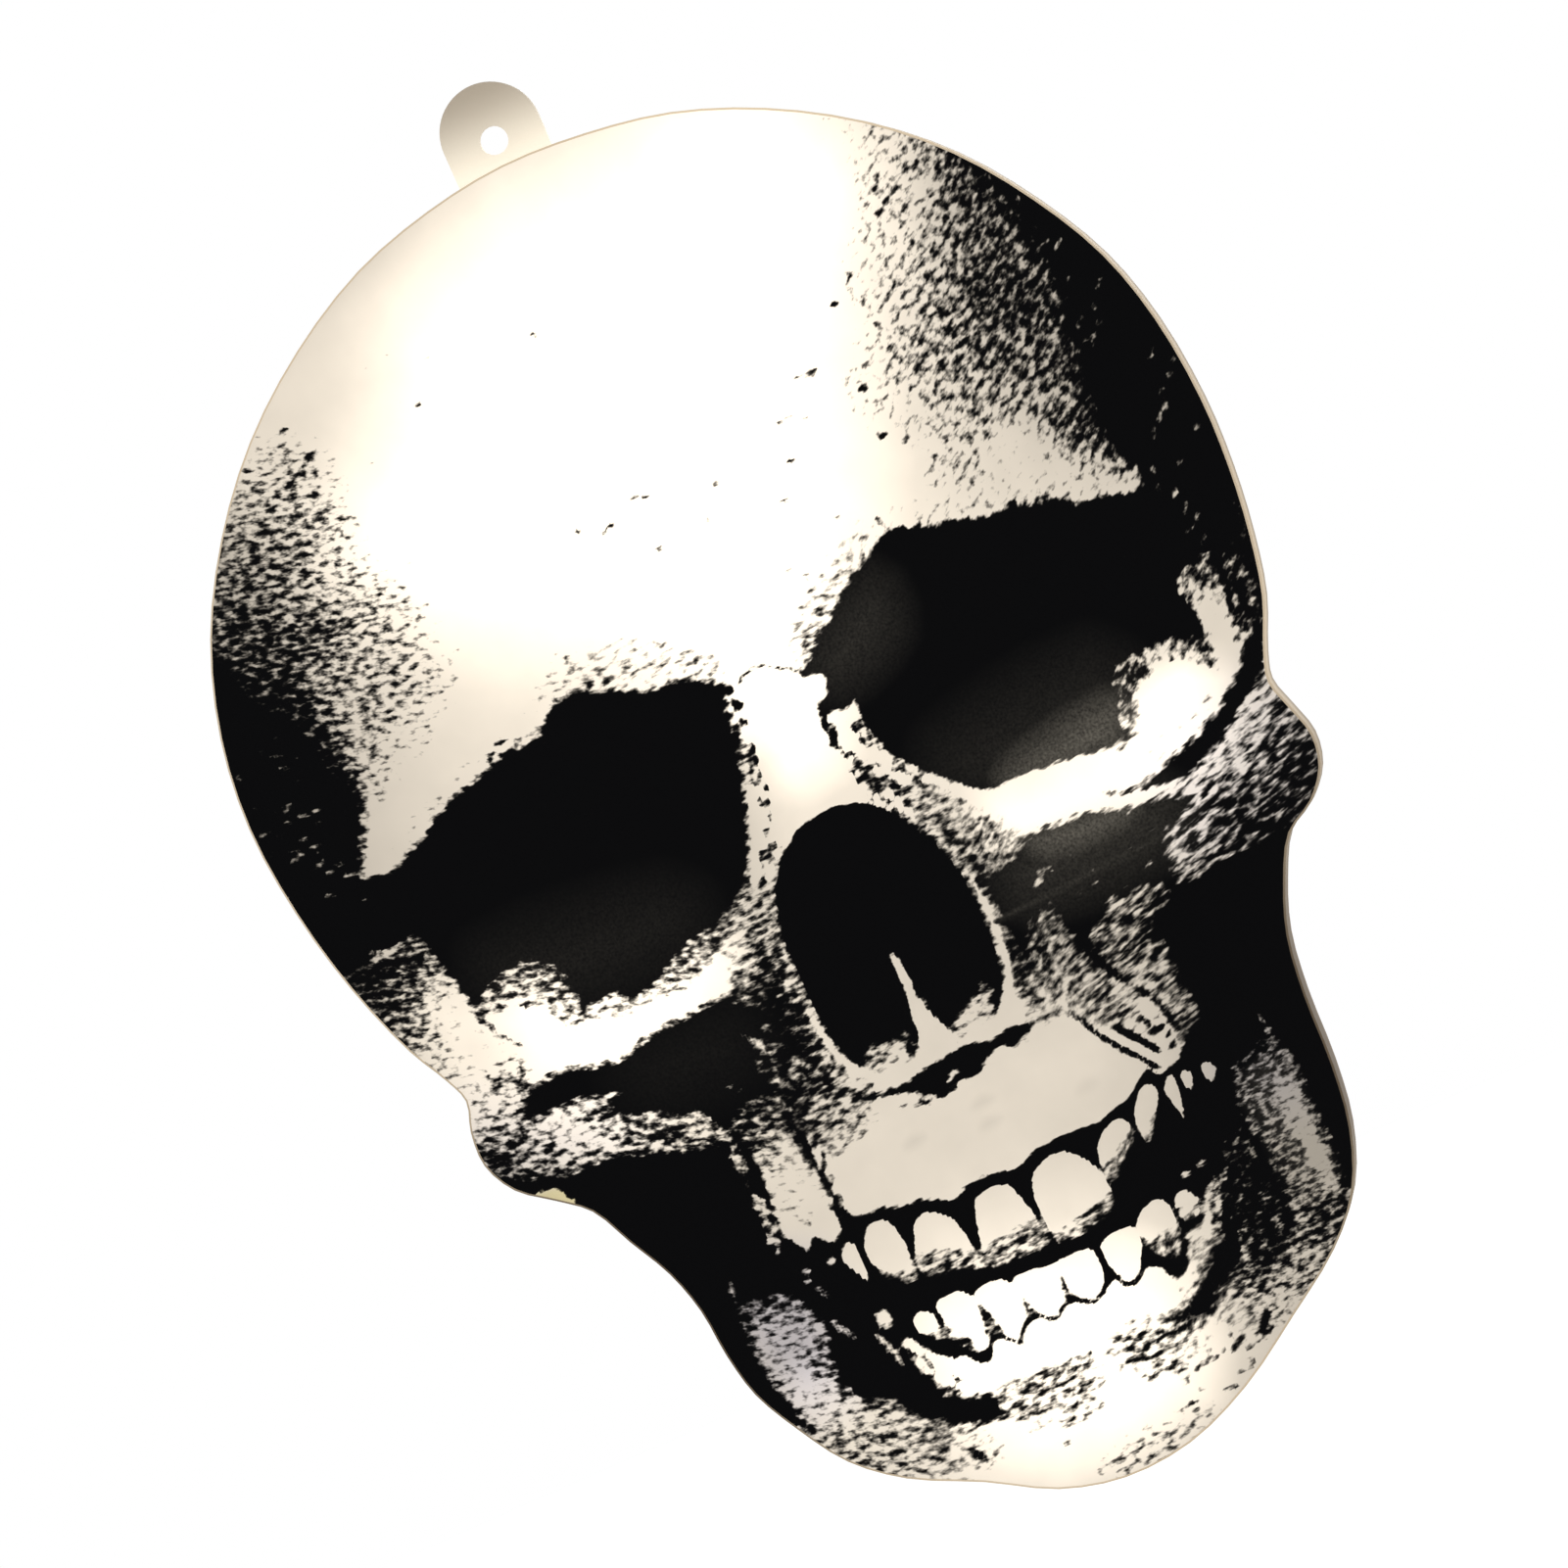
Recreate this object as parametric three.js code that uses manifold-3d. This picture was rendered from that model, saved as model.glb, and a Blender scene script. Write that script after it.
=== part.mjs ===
// Hanging skull light: a flat battery light box with a printed face, hung by the tab on its top.
// Millimetres, +Z up, the face looks along -Y, and the origin is the centre of the hang hole.

import * as THREE from 'three';
import { mergeVertices } from 'three/addons/utils/BufferGeometryUtils.js';
import Module from 'manifold-3d';

const wasm = await Module();
wasm.setup();

// Clearances
const fit = 0.3; // gap between pieces that nest, slide or meet end to end
const overrun = 0.5; // how far a cutter passes a face, and how far a boss roots in its wall

// Case
const skullWidth = 143;
const skullHeight = 198;
const caseDepth = 18; // back face to the front wall's outer face
const wall = 1.6; // front wall and skirt
const plateThickness = 1.8; // rear cover
const edgeChamfer = 0.3; // front edge of the skirt and back edge of the rear cover
const seamStep = 0.25; // how far the rear cover's edge stands in from the skirt
const lipThickness = 1.2;
const lipHeight = 3;
const filmThickness = 0.3;
const outlineSteps = 3; // points on each stretch of the outline
const roundSides = 20;
const smallSides = 12;

// Hang tab, part of the rear cover
const tabWidth = 14.1;
const tabRise = 8.2; // hole centre to the tab's top
const tabDrop = 4.2; // hole centre to the top of the skull
const tabRoot = 7; // how far the tab runs down into the plate
const hangHoleDiameter = 4;
const archSteps = 16; // points round the tab's top and the door's tongue
const cornerSteps = 4; // points round a small corner

// Screws
const screwHeadRadius = 2.6;
const screwShankRadius = 1.3;
const screwLength = 7.5;
const screwTip = 0.8;
const screwSink = 0.2; // how far the heads lie below the back face
const recessLength = 3.2;
const recessWidth = 0.7;
const recessDepth = 0.9;
const bossRadius = 3;
const pilotDepth = 8;

// Battery cells, AAA size
const cellDiameter = 10.5;
const cellLength = 44.5; // with the nub
const nubDiameter = 3.8;
const nubLength = 1;
const cellEdge = 0.6;
const cellCount = 3;

// Battery box and its contacts
const boxWall = 1.6;
const boxFloor = 1.4;
const flangeReach = 2.4; // past the box's walls
const flangeThickness = 1.6;
const cellPitch = 11.1;
const ribHeight = 3;
const ribThickness = 0.5;
const earHeight = 8;
const doorBossRadius = 3.4;
const doorBossReach = 4; // box wall to the door screw's axis
const contactThickness = 0.4;
const contactWidth = 8;
const springLength = 5.5;
const springBaseRadius = 3.3;
const springTopRadius = 2.1;
const springWire = 0.6;
const springCurls = 3;
const curlSteps = 8;
const springSides = 5;
const leastSpringGap = 0.4;

// Battery door
const doorLedge = 1.2; // how far the door laps the box's flange
const doorCorner = 1.5;
const tongueWidth = 9;
const tongueReach = 3.4; // door screw's axis to the tongue's end
const hookWidth = 8;
const hookSpacing = 28;
const hookThickness = 1.2;
const hookLap = 1.6; // under the rear cover's edge
const hookRoot = 2;
const gripWidth = 14;
const gripRadius = 1.5;
const gripDepth = 0.6;
const gripDrop = 5; // door's top edge to the finger groove
const doorScrewLength = 4.4;
const doorScrewClearance = 0.7;

// Switch
const switchWidth = 8;
const switchHeight = 15;
const switchDepth = 5;
const pocketDepth = 3;
const knobSize = 4;
const knobTravel = 4;
const knobSink = 0.1; // below the back face
const knobChamfer = 0.4;
const switchGap = 1.5; // battery box's flange to the switch's lower lug
const shoeWidth = 5;
const shoeHeight = 7;
const shoeThickness = 1.5;
const stakeRadius = 0.8;
const stakeHeight = 2.4;
const lugHeight = 3.4;
const lugThickness = 1.2;

// Lamps and their boards
const postHeight = 3.2;
const postRadius = 3;
const lampBoardRadius = 5;
const lampBoardThickness = 1;
const lampRimRadius = 2.9;
const lampRimHeight = 1;
const lampRadius = 2.5;
const lampHeight = 8.6;
const domeSteps = 4;

// Control board
const boardWidth = 28;
const boardHeight = 12;
const boardThickness = 1.2;
const boardPostInset = 4; // board's end to the post's middle
const boardGap = 1.2; // door screw's boss to the board's lower edge
const boardShift = 2; // right of the battery bay's middle
const chipWidth = 6;
const chipHeight = 5;
const chipDepth = 1.6;
const chipOffset = 1;
const resistorRadius = 1.1;
const resistorLength = 6;
const resistorInset = 6; // board's left end to the resistor's middle
const capacitorRadius = 2.5;
const capacitorHeight = 6;
const capacitorInset = 5; // board's right end to the capacitor's middle

// Wires
const pairWireRadius = 1.1; // two cores side by side in one jacket
const feedWireRadius = 0.7;
const wireSides = 8;
const wireStep = 6; // length of one step along a wire
const blackWireInset = 4; // board's left end to the black wire

// Places as shares of the skull's width, from its left edge, and of its height, from its top.
const tabShare = 0.475;
const bayShare = [0.501, 0.681];
const lampShares = [
  [0.522, 0.403], [0.522, 0.292], [0.301, 0.186], [0.681, 0.085],
  [0.813, 0.519], [0.599, 0.903], [0.452, 0.903], [0.236, 0.575],
];
const caseScrewShares = [
  [0.201, 0.14], [0.844, 0.161], [0.082, 0.403], [0.928, 0.403], [0.292, 0.858], [0.781, 0.858],
];

// The skull's outline, from the top round by the viewer's left.
const outlineShares = [
  [0.48, 0], [0.397, 0.008], [0.313, 0.026], [0.229, 0.059], [0.152, 0.103], [0.089, 0.156],
  [0.04, 0.216], [0.01, 0.282], [0, 0.347], [0.008, 0.413], [0.027, 0.476], [0.054, 0.532],
  [0.075, 0.561], [0.084, 0.579], [0.076, 0.6], [0.075, 0.625], [0.092, 0.649], [0.124, 0.667],
  [0.152, 0.684], [0.173, 0.714], [0.195, 0.745], [0.208, 0.777], [0.213, 0.812], [0.223, 0.845],
  [0.246, 0.878], [0.278, 0.913], [0.323, 0.94], [0.39, 0.964], [0.452, 0.989], [0.515, 1],
  [0.585, 0.996], [0.655, 0.976], [0.725, 0.944], [0.785, 0.914], [0.824, 0.883], [0.847, 0.842],
  [0.856, 0.797], [0.859, 0.746], [0.867, 0.704], [0.885, 0.669], [0.908, 0.64], [0.939, 0.626],
  [0.96, 0.607], [0.966, 0.584], [0.957, 0.56], [0.949, 0.539], [0.956, 0.52], [0.977, 0.484],
  [0.99, 0.441], [0.998, 0.393], [1, 0.342], [0.991, 0.279], [0.97, 0.224], [0.932, 0.171],
  [0.879, 0.118], [0.813, 0.074], [0.732, 0.038], [0.648, 0.014], [0.564, 0.003],
];

// Where each pair wire bends on its way from one lamp to the next, by lamp number.
const wireBendShares = {
  2: [],
  3: [[0.44, 0.24]],
  4: [[0.48, 0.11]],
  5: [[0.8, 0.17], [0.86, 0.35]],
  6: [[0.83, 0.6], [0.82, 0.7], [0.79, 0.79]],
  7: [],
};

// Planes that the sizes give
const backY = plateThickness / 2;
const seatY = -plateThickness / 2; // inner face of the rear cover, where the rest is seated
const frontY = backY - caseDepth;
const ceilingY = frontY + wall;
const skullLeft = -tabShare * skullWidth;
const skullTop = -tabDrop;
const lampSeatY = seatY - postHeight - lampBoardThickness;
const boardSeatY = seatY - postHeight - boardThickness;
const wireY = seatY - postHeight - lampBoardThickness / 2;

// Battery bay, the space that the cells, contacts and springs need
const bayWidth = cellLength + springLength + 2 * contactThickness + 3 * fit;
const bayHeight = cellCount * cellPitch + fit;
const bayDepth = cellDiameter + 3 * fit;
const bayFloorY = seatY - bayDepth;
const cellY = seatY - 2 * fit - cellDiameter / 2;
const doorWidth = bayWidth + 2 * doorLedge;
const doorHeight = bayHeight + 2 * doorLedge;

const light = new THREE.Group();

function place([across, down]) {
  return new THREE.Vector2(skullLeft + across * skullWidth, skullTop - down * skullHeight);
}

const bay = place(bayShare);
const lamps = lampShares.map(place);
const caseScrews = caseScrewShares.map(place);
const doorFoot = bay.y - doorHeight / 2; // the hinge line
const boxHead = bay.y + bayHeight / 2 + boxWall; // the battery box's top wall
const doorScrew = new THREE.Vector2(bay.x, boxHead + doorBossReach);
const earOffset = bayWidth / 2 + boxWall + bossRadius - overrun;
const boxScrews = [-1, 1].map((side) => new THREE.Vector2(bay.x + side * earOffset, bay.y));
const boardFoot = doorScrew.y + doorBossRadius + boardGap;
const board = new THREE.Vector2(bay.x + boardShift, boardFoot + boardHeight / 2);
const switchFoot = boxHead + flangeReach + switchGap + lugHeight;
const toggle = new THREE.Vector2(bay.x + bayWidth / 2, switchFoot + switchHeight / 2);

// Joins equal corners and turns the faces outwards.
function closed(geometry) {
  const bare = geometry.clone();
  bare.deleteAttribute('normal');
  bare.deleteAttribute('uv');
  const welded = mergeVertices(bare);
  const corners = welded.attributes.position;
  const order = new Uint32Array(welded.index.array);
  const [a, b, c] = [new THREE.Vector3(), new THREE.Vector3(), new THREE.Vector3()];
  let volume = 0;
  for (let i = 0; i < order.length; i += 3) {
    a.fromBufferAttribute(corners, order[i]);
    b.fromBufferAttribute(corners, order[i + 1]);
    c.fromBufferAttribute(corners, order[i + 2]);
    volume += a.dot(b.cross(c));
  }
  if (volume < 0) {
    for (let i = 0; i < order.length; i += 3) {
      [order[i + 1], order[i + 2]] = [order[i + 2], order[i + 1]];
    }
  }
  welded.setIndex(new THREE.BufferAttribute(order, 1));
  return welded;
}

function solid(geometry) {
  const shell = closed(geometry);
  return new wasm.Manifold(new wasm.Mesh({
    numProp: 3,
    vertProperties: shell.attributes.position.array,
    triVerts: shell.index.array,
  }));
}

function geometryOf(body) {
  const mesh = body.getMesh();
  const geometry = new THREE.BufferGeometry();
  geometry.setAttribute('position', new THREE.BufferAttribute(mesh.vertProperties, 3));
  geometry.setIndex(new THREE.BufferAttribute(mesh.triVerts, 1));
  return geometry;
}

function join(first, ...rest) {
  return rest.reduce((body, geometry) => body.add(solid(geometry)), solid(first));
}

function cut(body, ...cutters) {
  return cutters.reduce((left, geometry) => left.subtract(solid(geometry)), body);
}

function add(name, geometry, colour, roughness, metalness = 0) {
  geometry.computeVertexNormals();
  const material = new THREE.MeshStandardMaterial({ color: colour, roughness, metalness });
  const mesh = new THREE.Mesh(geometry, material);
  mesh.name = name;
  light.add(mesh);
  return mesh;
}

// Extrudes an outline in X and Z from one depth to another.
function slab(outline, nearY, farY, curveSegments = cornerSteps) {
  const shape = outline instanceof THREE.Shape ? outline : new THREE.Shape(outline);
  const options = { depth: farY - nearY, bevelEnabled: false, curveSegments };
  return new THREE.ExtrudeGeometry(shape, options).rotateX(Math.PI / 2).translate(0, farY, 0);
}

// Joins rings of equal count, the farthest first, and closes both ends.
function ringSolid(rings) {
  const count = rings[0].points.length;
  const corners = rings.flatMap(({ points, y }) => points.flatMap((point) => [point.x, y, point.y]));
  const faces = [];
  for (let ring = 0; ring + 1 < rings.length; ring++) {
    for (let i = 0; i < count; i++) {
      const next = (i + 1) % count;
      const [a, b] = [ring * count + i, ring * count + next];
      faces.push(a, b, b + count, a, b + count, a + count);
    }
  }
  const lastStart = (rings.length - 1) * count;
  for (const [a, b, c] of THREE.ShapeUtils.triangulateShape(rings[0].points, [])) {
    faces.push(a, c, b);
  }
  for (const [a, b, c] of THREE.ShapeUtils.triangulateShape(rings.at(-1).points, [])) {
    faces.push(lastStart + a, lastStart + b, lastStart + c);
  }
  const geometry = new THREE.BufferGeometry();
  geometry.setAttribute('position', new THREE.Float32BufferAttribute(corners, 3));
  geometry.setIndex(faces);
  return geometry;
}

function post(centre, radius, nearY, farY, sides = roundSides) {
  const geometry = new THREE.CylinderGeometry(radius, radius, farY - nearY, sides);
  return geometry.translate(centre.x, (nearY + farY) / 2, centre.y);
}

function block(centre, width, height, nearY, farY) {
  const geometry = new THREE.BoxGeometry(width, farY - nearY, height);
  return geometry.translate(centre.x, (nearY + farY) / 2, centre.y);
}

function shifted(point, across, up) {
  return new THREE.Vector2(point.x + across, point.y + up);
}

function roundedRectangle(centre, width, height, radius) {
  const [left, right] = [centre.x - width / 2, centre.x + width / 2];
  const [low, high] = [centre.y - height / 2, centre.y + height / 2];
  const shape = new THREE.Shape();
  shape.moveTo(left + radius, low);
  shape.lineTo(right - radius, low);
  shape.absarc(right - radius, low + radius, radius, -Math.PI / 2, 0);
  shape.lineTo(right, high - radius);
  shape.absarc(right - radius, high - radius, radius, 0, Math.PI / 2);
  shape.lineTo(left + radius, high);
  shape.absarc(left + radius, high - radius, radius, Math.PI / 2, Math.PI);
  shape.lineTo(left, low + radius);
  shape.absarc(left + radius, low + radius, radius, Math.PI, 3 * Math.PI / 2);
  return shape;
}

function smoothOutline() {
  const corners = outlineShares.map(place).map(({ x, y }) => new THREE.Vector3(x, y, 0));
  const curve = new THREE.CatmullRomCurve3(corners, true, 'centripetal');
  const points = curve.getPoints(corners.length * outlineSteps).slice(0, -1);
  return points.map(({ x, y }) => new THREE.Vector2(x, y));
}

// Moves every point of an outline inwards by the same distance.
function inset(points, distance) {
  const last = points.length - 1;
  return points.map((point, i) => {
    const arriving = point.clone().sub(points[i === 0 ? last : i - 1]).normalize();
    const leaving = points[i === last ? 0 : i + 1].clone().sub(point).normalize();
    const side = new THREE.Vector2(-leaving.y, leaving.x);
    const inward = side.clone().add(new THREE.Vector2(-arriving.y, arriving.x)).normalize();
    return point.clone().addScaledVector(inward, distance / inward.dot(side));
  });
}

const outline = smoothOutline();

// Countersunk hole for a screw whose head lies below the back face.
function countersink(centre) {
  const mouth = screwHeadRadius + screwSink + fit;
  const bore = screwShankRadius + fit;
  const profile = [
    new THREE.Vector2(0, overrun),
    new THREE.Vector2(mouth + overrun, overrun),
    new THREE.Vector2(bore, bore - mouth),
    new THREE.Vector2(bore, -plateThickness - overrun),
    new THREE.Vector2(0, -plateThickness - overrun),
  ];
  return new THREE.LatheGeometry(profile, smallSides).translate(centre.x, backY, centre.y);
}

function screw(name, centre, length) {
  const profile = [
    new THREE.Vector2(0, 0),
    new THREE.Vector2(screwHeadRadius, 0),
    new THREE.Vector2(screwShankRadius, screwShankRadius - screwHeadRadius),
    new THREE.Vector2(screwShankRadius, screwTip - length),
    new THREE.Vector2(0, -length),
  ];
  const origin = new THREE.Vector2();
  const body = cut(
    solid(new THREE.LatheGeometry(profile, smallSides)),
    block(origin, recessLength, recessWidth, -recessDepth, overrun),
    block(origin, recessWidth, recessLength, -recessDepth, overrun),
  );
  const mesh = add(name, geometryOf(body), 0x9a9c9e, 0.35, 1);
  mesh.position.set(centre.x, backY - screwSink, centre.y);
}

function frontCover() {
  const shell = ringSolid([
    { points: outline, y: seatY },
    { points: outline, y: frontY + edgeChamfer },
    { points: inset(outline, edgeChamfer), y: frontY },
  ]);
  const hollow = slab(inset(outline, wall), ceilingY, seatY + overrun);
  const bosses = caseScrews.map((centre) => solid(post(centre, bossRadius, ceilingY - overrun, seatY)));
  const pilots = caseScrews.map((centre) =>
    post(centre, screwShankRadius + fit, seatY - pilotDepth, seatY + overrun, smallSides));
  const body = bosses.reduce((joined, boss) => joined.add(boss), cut(solid(shell), hollow));
  add('front_cover', geometryOf(cut(body, ...pilots)), 0xf1ebdc, 0.45);
}

function printedFace() {
  const film = slab(inset(outline, edgeChamfer), frontY - filmThickness, frontY);
  add('printed_face', closed(film), 0xe9e3d6, 0.5);
}

function tabOutline() {
  const half = tabWidth / 2;
  const shape = new THREE.Shape();
  shape.moveTo(-half, -tabDrop - tabRoot);
  shape.lineTo(half, -tabDrop - tabRoot);
  shape.absarc(0, tabRise - half, half, 0, Math.PI);
  return shape;
}

// The door's outline, also used for its opening, which is larger all round by the margin.
function doorPlate(margin, nearY, farY) {
  const width = doorWidth + 2 * margin;
  const tongue = new THREE.Shape();
  const half = tongueWidth / 2 + margin;
  const top = doorScrew.y + tongueReach + margin;
  tongue.moveTo(bay.x - half, bay.y);
  tongue.lineTo(bay.x + half, bay.y);
  tongue.absarc(bay.x, top - half, half, 0, Math.PI);
  const panel = roundedRectangle(bay, width, doorHeight + 2 * margin, doorCorner + margin);
  return join(slab(panel, nearY, farY), slab(tongue, nearY, farY, archSteps));
}

function rearCover() {
  const edge = inset(outline, seamStep);
  const plate = ringSolid([
    { points: inset(edge, edgeChamfer), y: backY },
    { points: edge, y: backY - edgeChamfer },
    { points: edge, y: seatY },
  ]);
  const lipOuter = inset(outline, wall + fit);
  const lipNear = seatY - lipHeight;
  const lip = cut(
    solid(slab(lipOuter, lipNear, seatY + overrun)),
    slab(inset(lipOuter, lipThickness), lipNear - overrun, seatY + 2 * overrun),
  );
  const posts = [
    ...lamps.map((centre) => post(centre, postRadius, seatY - postHeight, seatY + overrun)),
    ...[-1, 1].map((side) => shifted(board, side * (boardWidth / 2 - boardPostInset), 0)).map((centre) =>
      post(centre, postRadius, seatY - postHeight, seatY + overrun)),
    ...[-1, 1].map((side) =>
      post(stakePlace(side), stakeRadius, seatY - stakeHeight, seatY + overrun, smallSides)),
  ];
  const body = join(plate, slab(tabOutline(), seatY, backY, archSteps), ...posts).add(lip);
  const slot = block(
    toggle, knobSize + 2 * fit, knobSize + knobTravel + 2 * fit, seatY - overrun, backY + overrun,
  );
  const holes = [...caseScrews, ...boxScrews].map(countersink);
  const hangHole = post(new THREE.Vector2(), hangHoleDiameter / 2, seatY - overrun, backY + overrun);
  const opening = doorPlate(fit, seatY - overrun, backY + overrun);
  add('rear_cover', geometryOf(cut(body, slot, hangHole, ...holes).subtract(opening)), 0xf0ece2, 0.5);
}

// Hook tabs on the door's foot reach under the rear cover's edge.
function hookPlaces() {
  return [-1, 1].map((side) => new THREE.Vector2(bay.x + side * hookSpacing / 2, doorFoot));
}

function batteryBox() {
  const boxWidth = bayWidth + 2 * boxWall;
  const boxHeight = bayHeight + 2 * boxWall;
  const flange = roundedRectangle(bay, boxWidth + 2 * flangeReach, boxHeight + 2 * flangeReach, doorCorner);
  const ears = boxScrews.map((centre) => post(centre, bossRadius, seatY - earHeight, seatY));
  const doorBoss = post(doorScrew, doorBossRadius, seatY - earHeight, seatY);
  const bridge = block(
    shifted(doorScrew, 0, -doorBossReach / 2), 2 * doorBossRadius, doorBossReach, seatY - earHeight, seatY,
  );
  const outside = join(
    block(bay, boxWidth, boxHeight, bayFloorY - boxFloor, seatY),
    slab(flange, seatY - flangeThickness, seatY),
    ...ears, doorBoss, bridge,
  );
  const hookReach = backY - seatY + fit + hookThickness; // farthest that a hook swings in
  const notches = hookPlaces().map((centre) => block(
    shifted(centre, 0, -hookLap / 2), hookWidth + 2 * fit, 2 * (doorLedge + hookLap + flangeReach),
    seatY - hookReach, seatY + overrun,
  ));
  const pilots = boxScrews.map((centre) =>
    post(centre, screwShankRadius + fit, seatY - earHeight - overrun, seatY + overrun, smallSides));
  const doorPilot = post(
    doorScrew, screwShankRadius + doorScrewClearance,
    seatY - earHeight - overrun, seatY + overrun, smallSides,
  );
  const hollow = block(bay, bayWidth, bayHeight, bayFloorY, seatY + overrun);
  let body = cut(outside, hollow, ...notches, ...pilots, doorPilot);
  for (let gap = 1; gap < cellCount; gap++) {
    const centre = shifted(bay, 0, (gap - cellCount / 2) * cellPitch);
    const ribY = bayFloorY + ribHeight;
    body = body.add(solid(block(centre, bayWidth / 2, ribThickness, bayFloorY - overrun, ribY)));
  }
  add('battery_box', geometryOf(body), 0x2a2a2c, 0.55);
}

function batteryDoor() {
  const hookY = seatY - fit - hookThickness;
  const hookReach = fit + hookLap; // below the door's foot
  const hookLength = hookRoot + hookReach;
  const hooks = hookPlaces().flatMap((centre) => [
    block(shifted(centre, 0, hookRoot / 2), hookWidth, hookRoot, hookY, seatY + overrun),
    block(shifted(centre, 0, hookLength / 2 - hookReach), hookWidth, hookLength, hookY, seatY - fit),
  ]);
  const top = bay.y + doorHeight / 2;
  const grip = new THREE.CylinderGeometry(gripRadius, gripRadius, gripWidth, smallSides).rotateZ(Math.PI / 2)
    .translate(bay.x, backY + gripRadius - gripDepth, top - gripDrop);
  const panel = hooks.reduce((joined, hook) => joined.add(solid(hook)), doorPlate(0, seatY, backY));
  add('battery_door', geometryOf(cut(panel, grip, countersink(doorScrew))), 0xece8de, 0.5);
}

function cellProfile() {
  const half = cellDiameter / 2;
  const barrel = cellLength - nubLength;
  return [
    new THREE.Vector2(0, 0),
    new THREE.Vector2(half - cellEdge, 0),
    new THREE.Vector2(half, cellEdge),
    new THREE.Vector2(half, barrel - cellEdge),
    new THREE.Vector2(half - cellEdge, barrel),
    new THREE.Vector2(nubDiameter / 2, barrel),
    new THREE.Vector2(nubDiameter / 2, cellLength),
    new THREE.Vector2(0, cellLength),
  ];
}

// A cone of curls along +Y whose ends run straight, as wire points.
function springPath() {
  const points = [new THREE.Vector3(springBaseRadius, springWire / 2, 0)];
  const climb = springLength - 2 * springWire;
  const steps = springCurls * curlSteps;
  for (let step = 0; step <= steps; step++) {
    const share = step / steps;
    const radius = THREE.MathUtils.lerp(springBaseRadius, springTopRadius, share);
    const turn = share * springCurls * 2 * Math.PI;
    const height = springWire + share * climb;
    points.push(new THREE.Vector3(radius * Math.cos(turn), height, radius * Math.sin(turn)));
  }
  points.push(new THREE.Vector3(springTopRadius, springLength - springWire / 2, 0));
  points.unshift(new THREE.Vector3(springBaseRadius, 0, 0));
  points.push(new THREE.Vector3(springTopRadius, springLength, 0));
  return points;
}

// The least gap between a curl and the next, measured on the points of the path.
function leastGap(points) {
  let least = Infinity;
  for (let i = 0; i < points.length; i++) {
    for (let j = i + curlSteps / 2; j < points.length; j++) {
      least = Math.min(least, points[i].distanceTo(points[j]) - springWire);
    }
  }
  return least;
}

function polygon(radius, sides) {
  const corners = [];
  for (let i = 0; i < sides; i++) {
    const turn = i / sides * 2 * Math.PI;
    corners.push(new THREE.Vector2(radius * Math.cos(turn), radius * Math.sin(turn)));
  }
  return new THREE.Shape(corners);
}

function tube(points, radius, sides, steps) {
  const extrudePath = new THREE.CatmullRomCurve3(points, false, 'centripetal');
  return closed(new THREE.ExtrudeGeometry(polygon(radius, sides), { extrudePath, steps }));
}

function cellsAndContacts() {
  const left = bay.x - bayWidth / 2;
  const path = springPath();
  const gap = leastGap(path);
  console.log(`least gap between spring curls: ${gap.toFixed(2)} mm, wanted over ${leastSpringGap} mm`);
  for (let i = 0; i < cellCount; i++) {
    const up = ((cellCount - 1) / 2 - i) * cellPitch;
    const nubLeft = i % 2 === 0;
    const side = nubLeft ? 1 : -1; // the way from the nub's contact to the spring's
    const nubWall = bay.x - side * bayWidth / 2;
    const flatEnd = nubWall + side * (contactThickness + fit + cellLength);
    const springFoot = nubWall + side * (bayWidth - contactThickness - fit);
    const barrel = closed(new THREE.LatheGeometry(cellProfile(), roundSides));
    const cell = add(`battery_cell_${i + 1}`, barrel, 0x3b6f4a, 0.4);
    cell.rotation.z = side * Math.PI / 2;
    cell.position.set(flatEnd, cellY, bay.y + up);
    const coil = tube(path, springWire / 2, springSides, path.length - 1);
    const spring = add(`contact_spring_${i + 1}`, coil, 0xc9cbcc, 0.3, 1);
    spring.rotation.z = side * Math.PI / 2;
    spring.position.set(springFoot, cellY, bay.y + up);
  }
  const reach = contactWidth + cellPitch;
  const contacts = [
    { x: left + contactThickness / 2, up: cellPitch, height: contactWidth },
    { x: left + contactThickness / 2, up: -cellPitch / 2, height: reach },
    { x: left + bayWidth - contactThickness / 2, up: cellPitch / 2, height: reach },
    { x: left + bayWidth - contactThickness / 2, up: -cellPitch, height: contactWidth },
  ];
  contacts.forEach(({ x, up, height }, i) => {
    const plate = new THREE.BoxGeometry(contactThickness, contactWidth, height);
    add(`contact_plate_${i + 1}`, plate.translate(x, cellY, bay.y + up), 0xc4c6c8, 0.3, 1);
  });
}

// The rear cover's pins that hold the switch, one above and one below it.
function stakePlace(side) {
  return shifted(toggle, 0, side * (switchHeight / 2 + lugHeight / 2));
}

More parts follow.
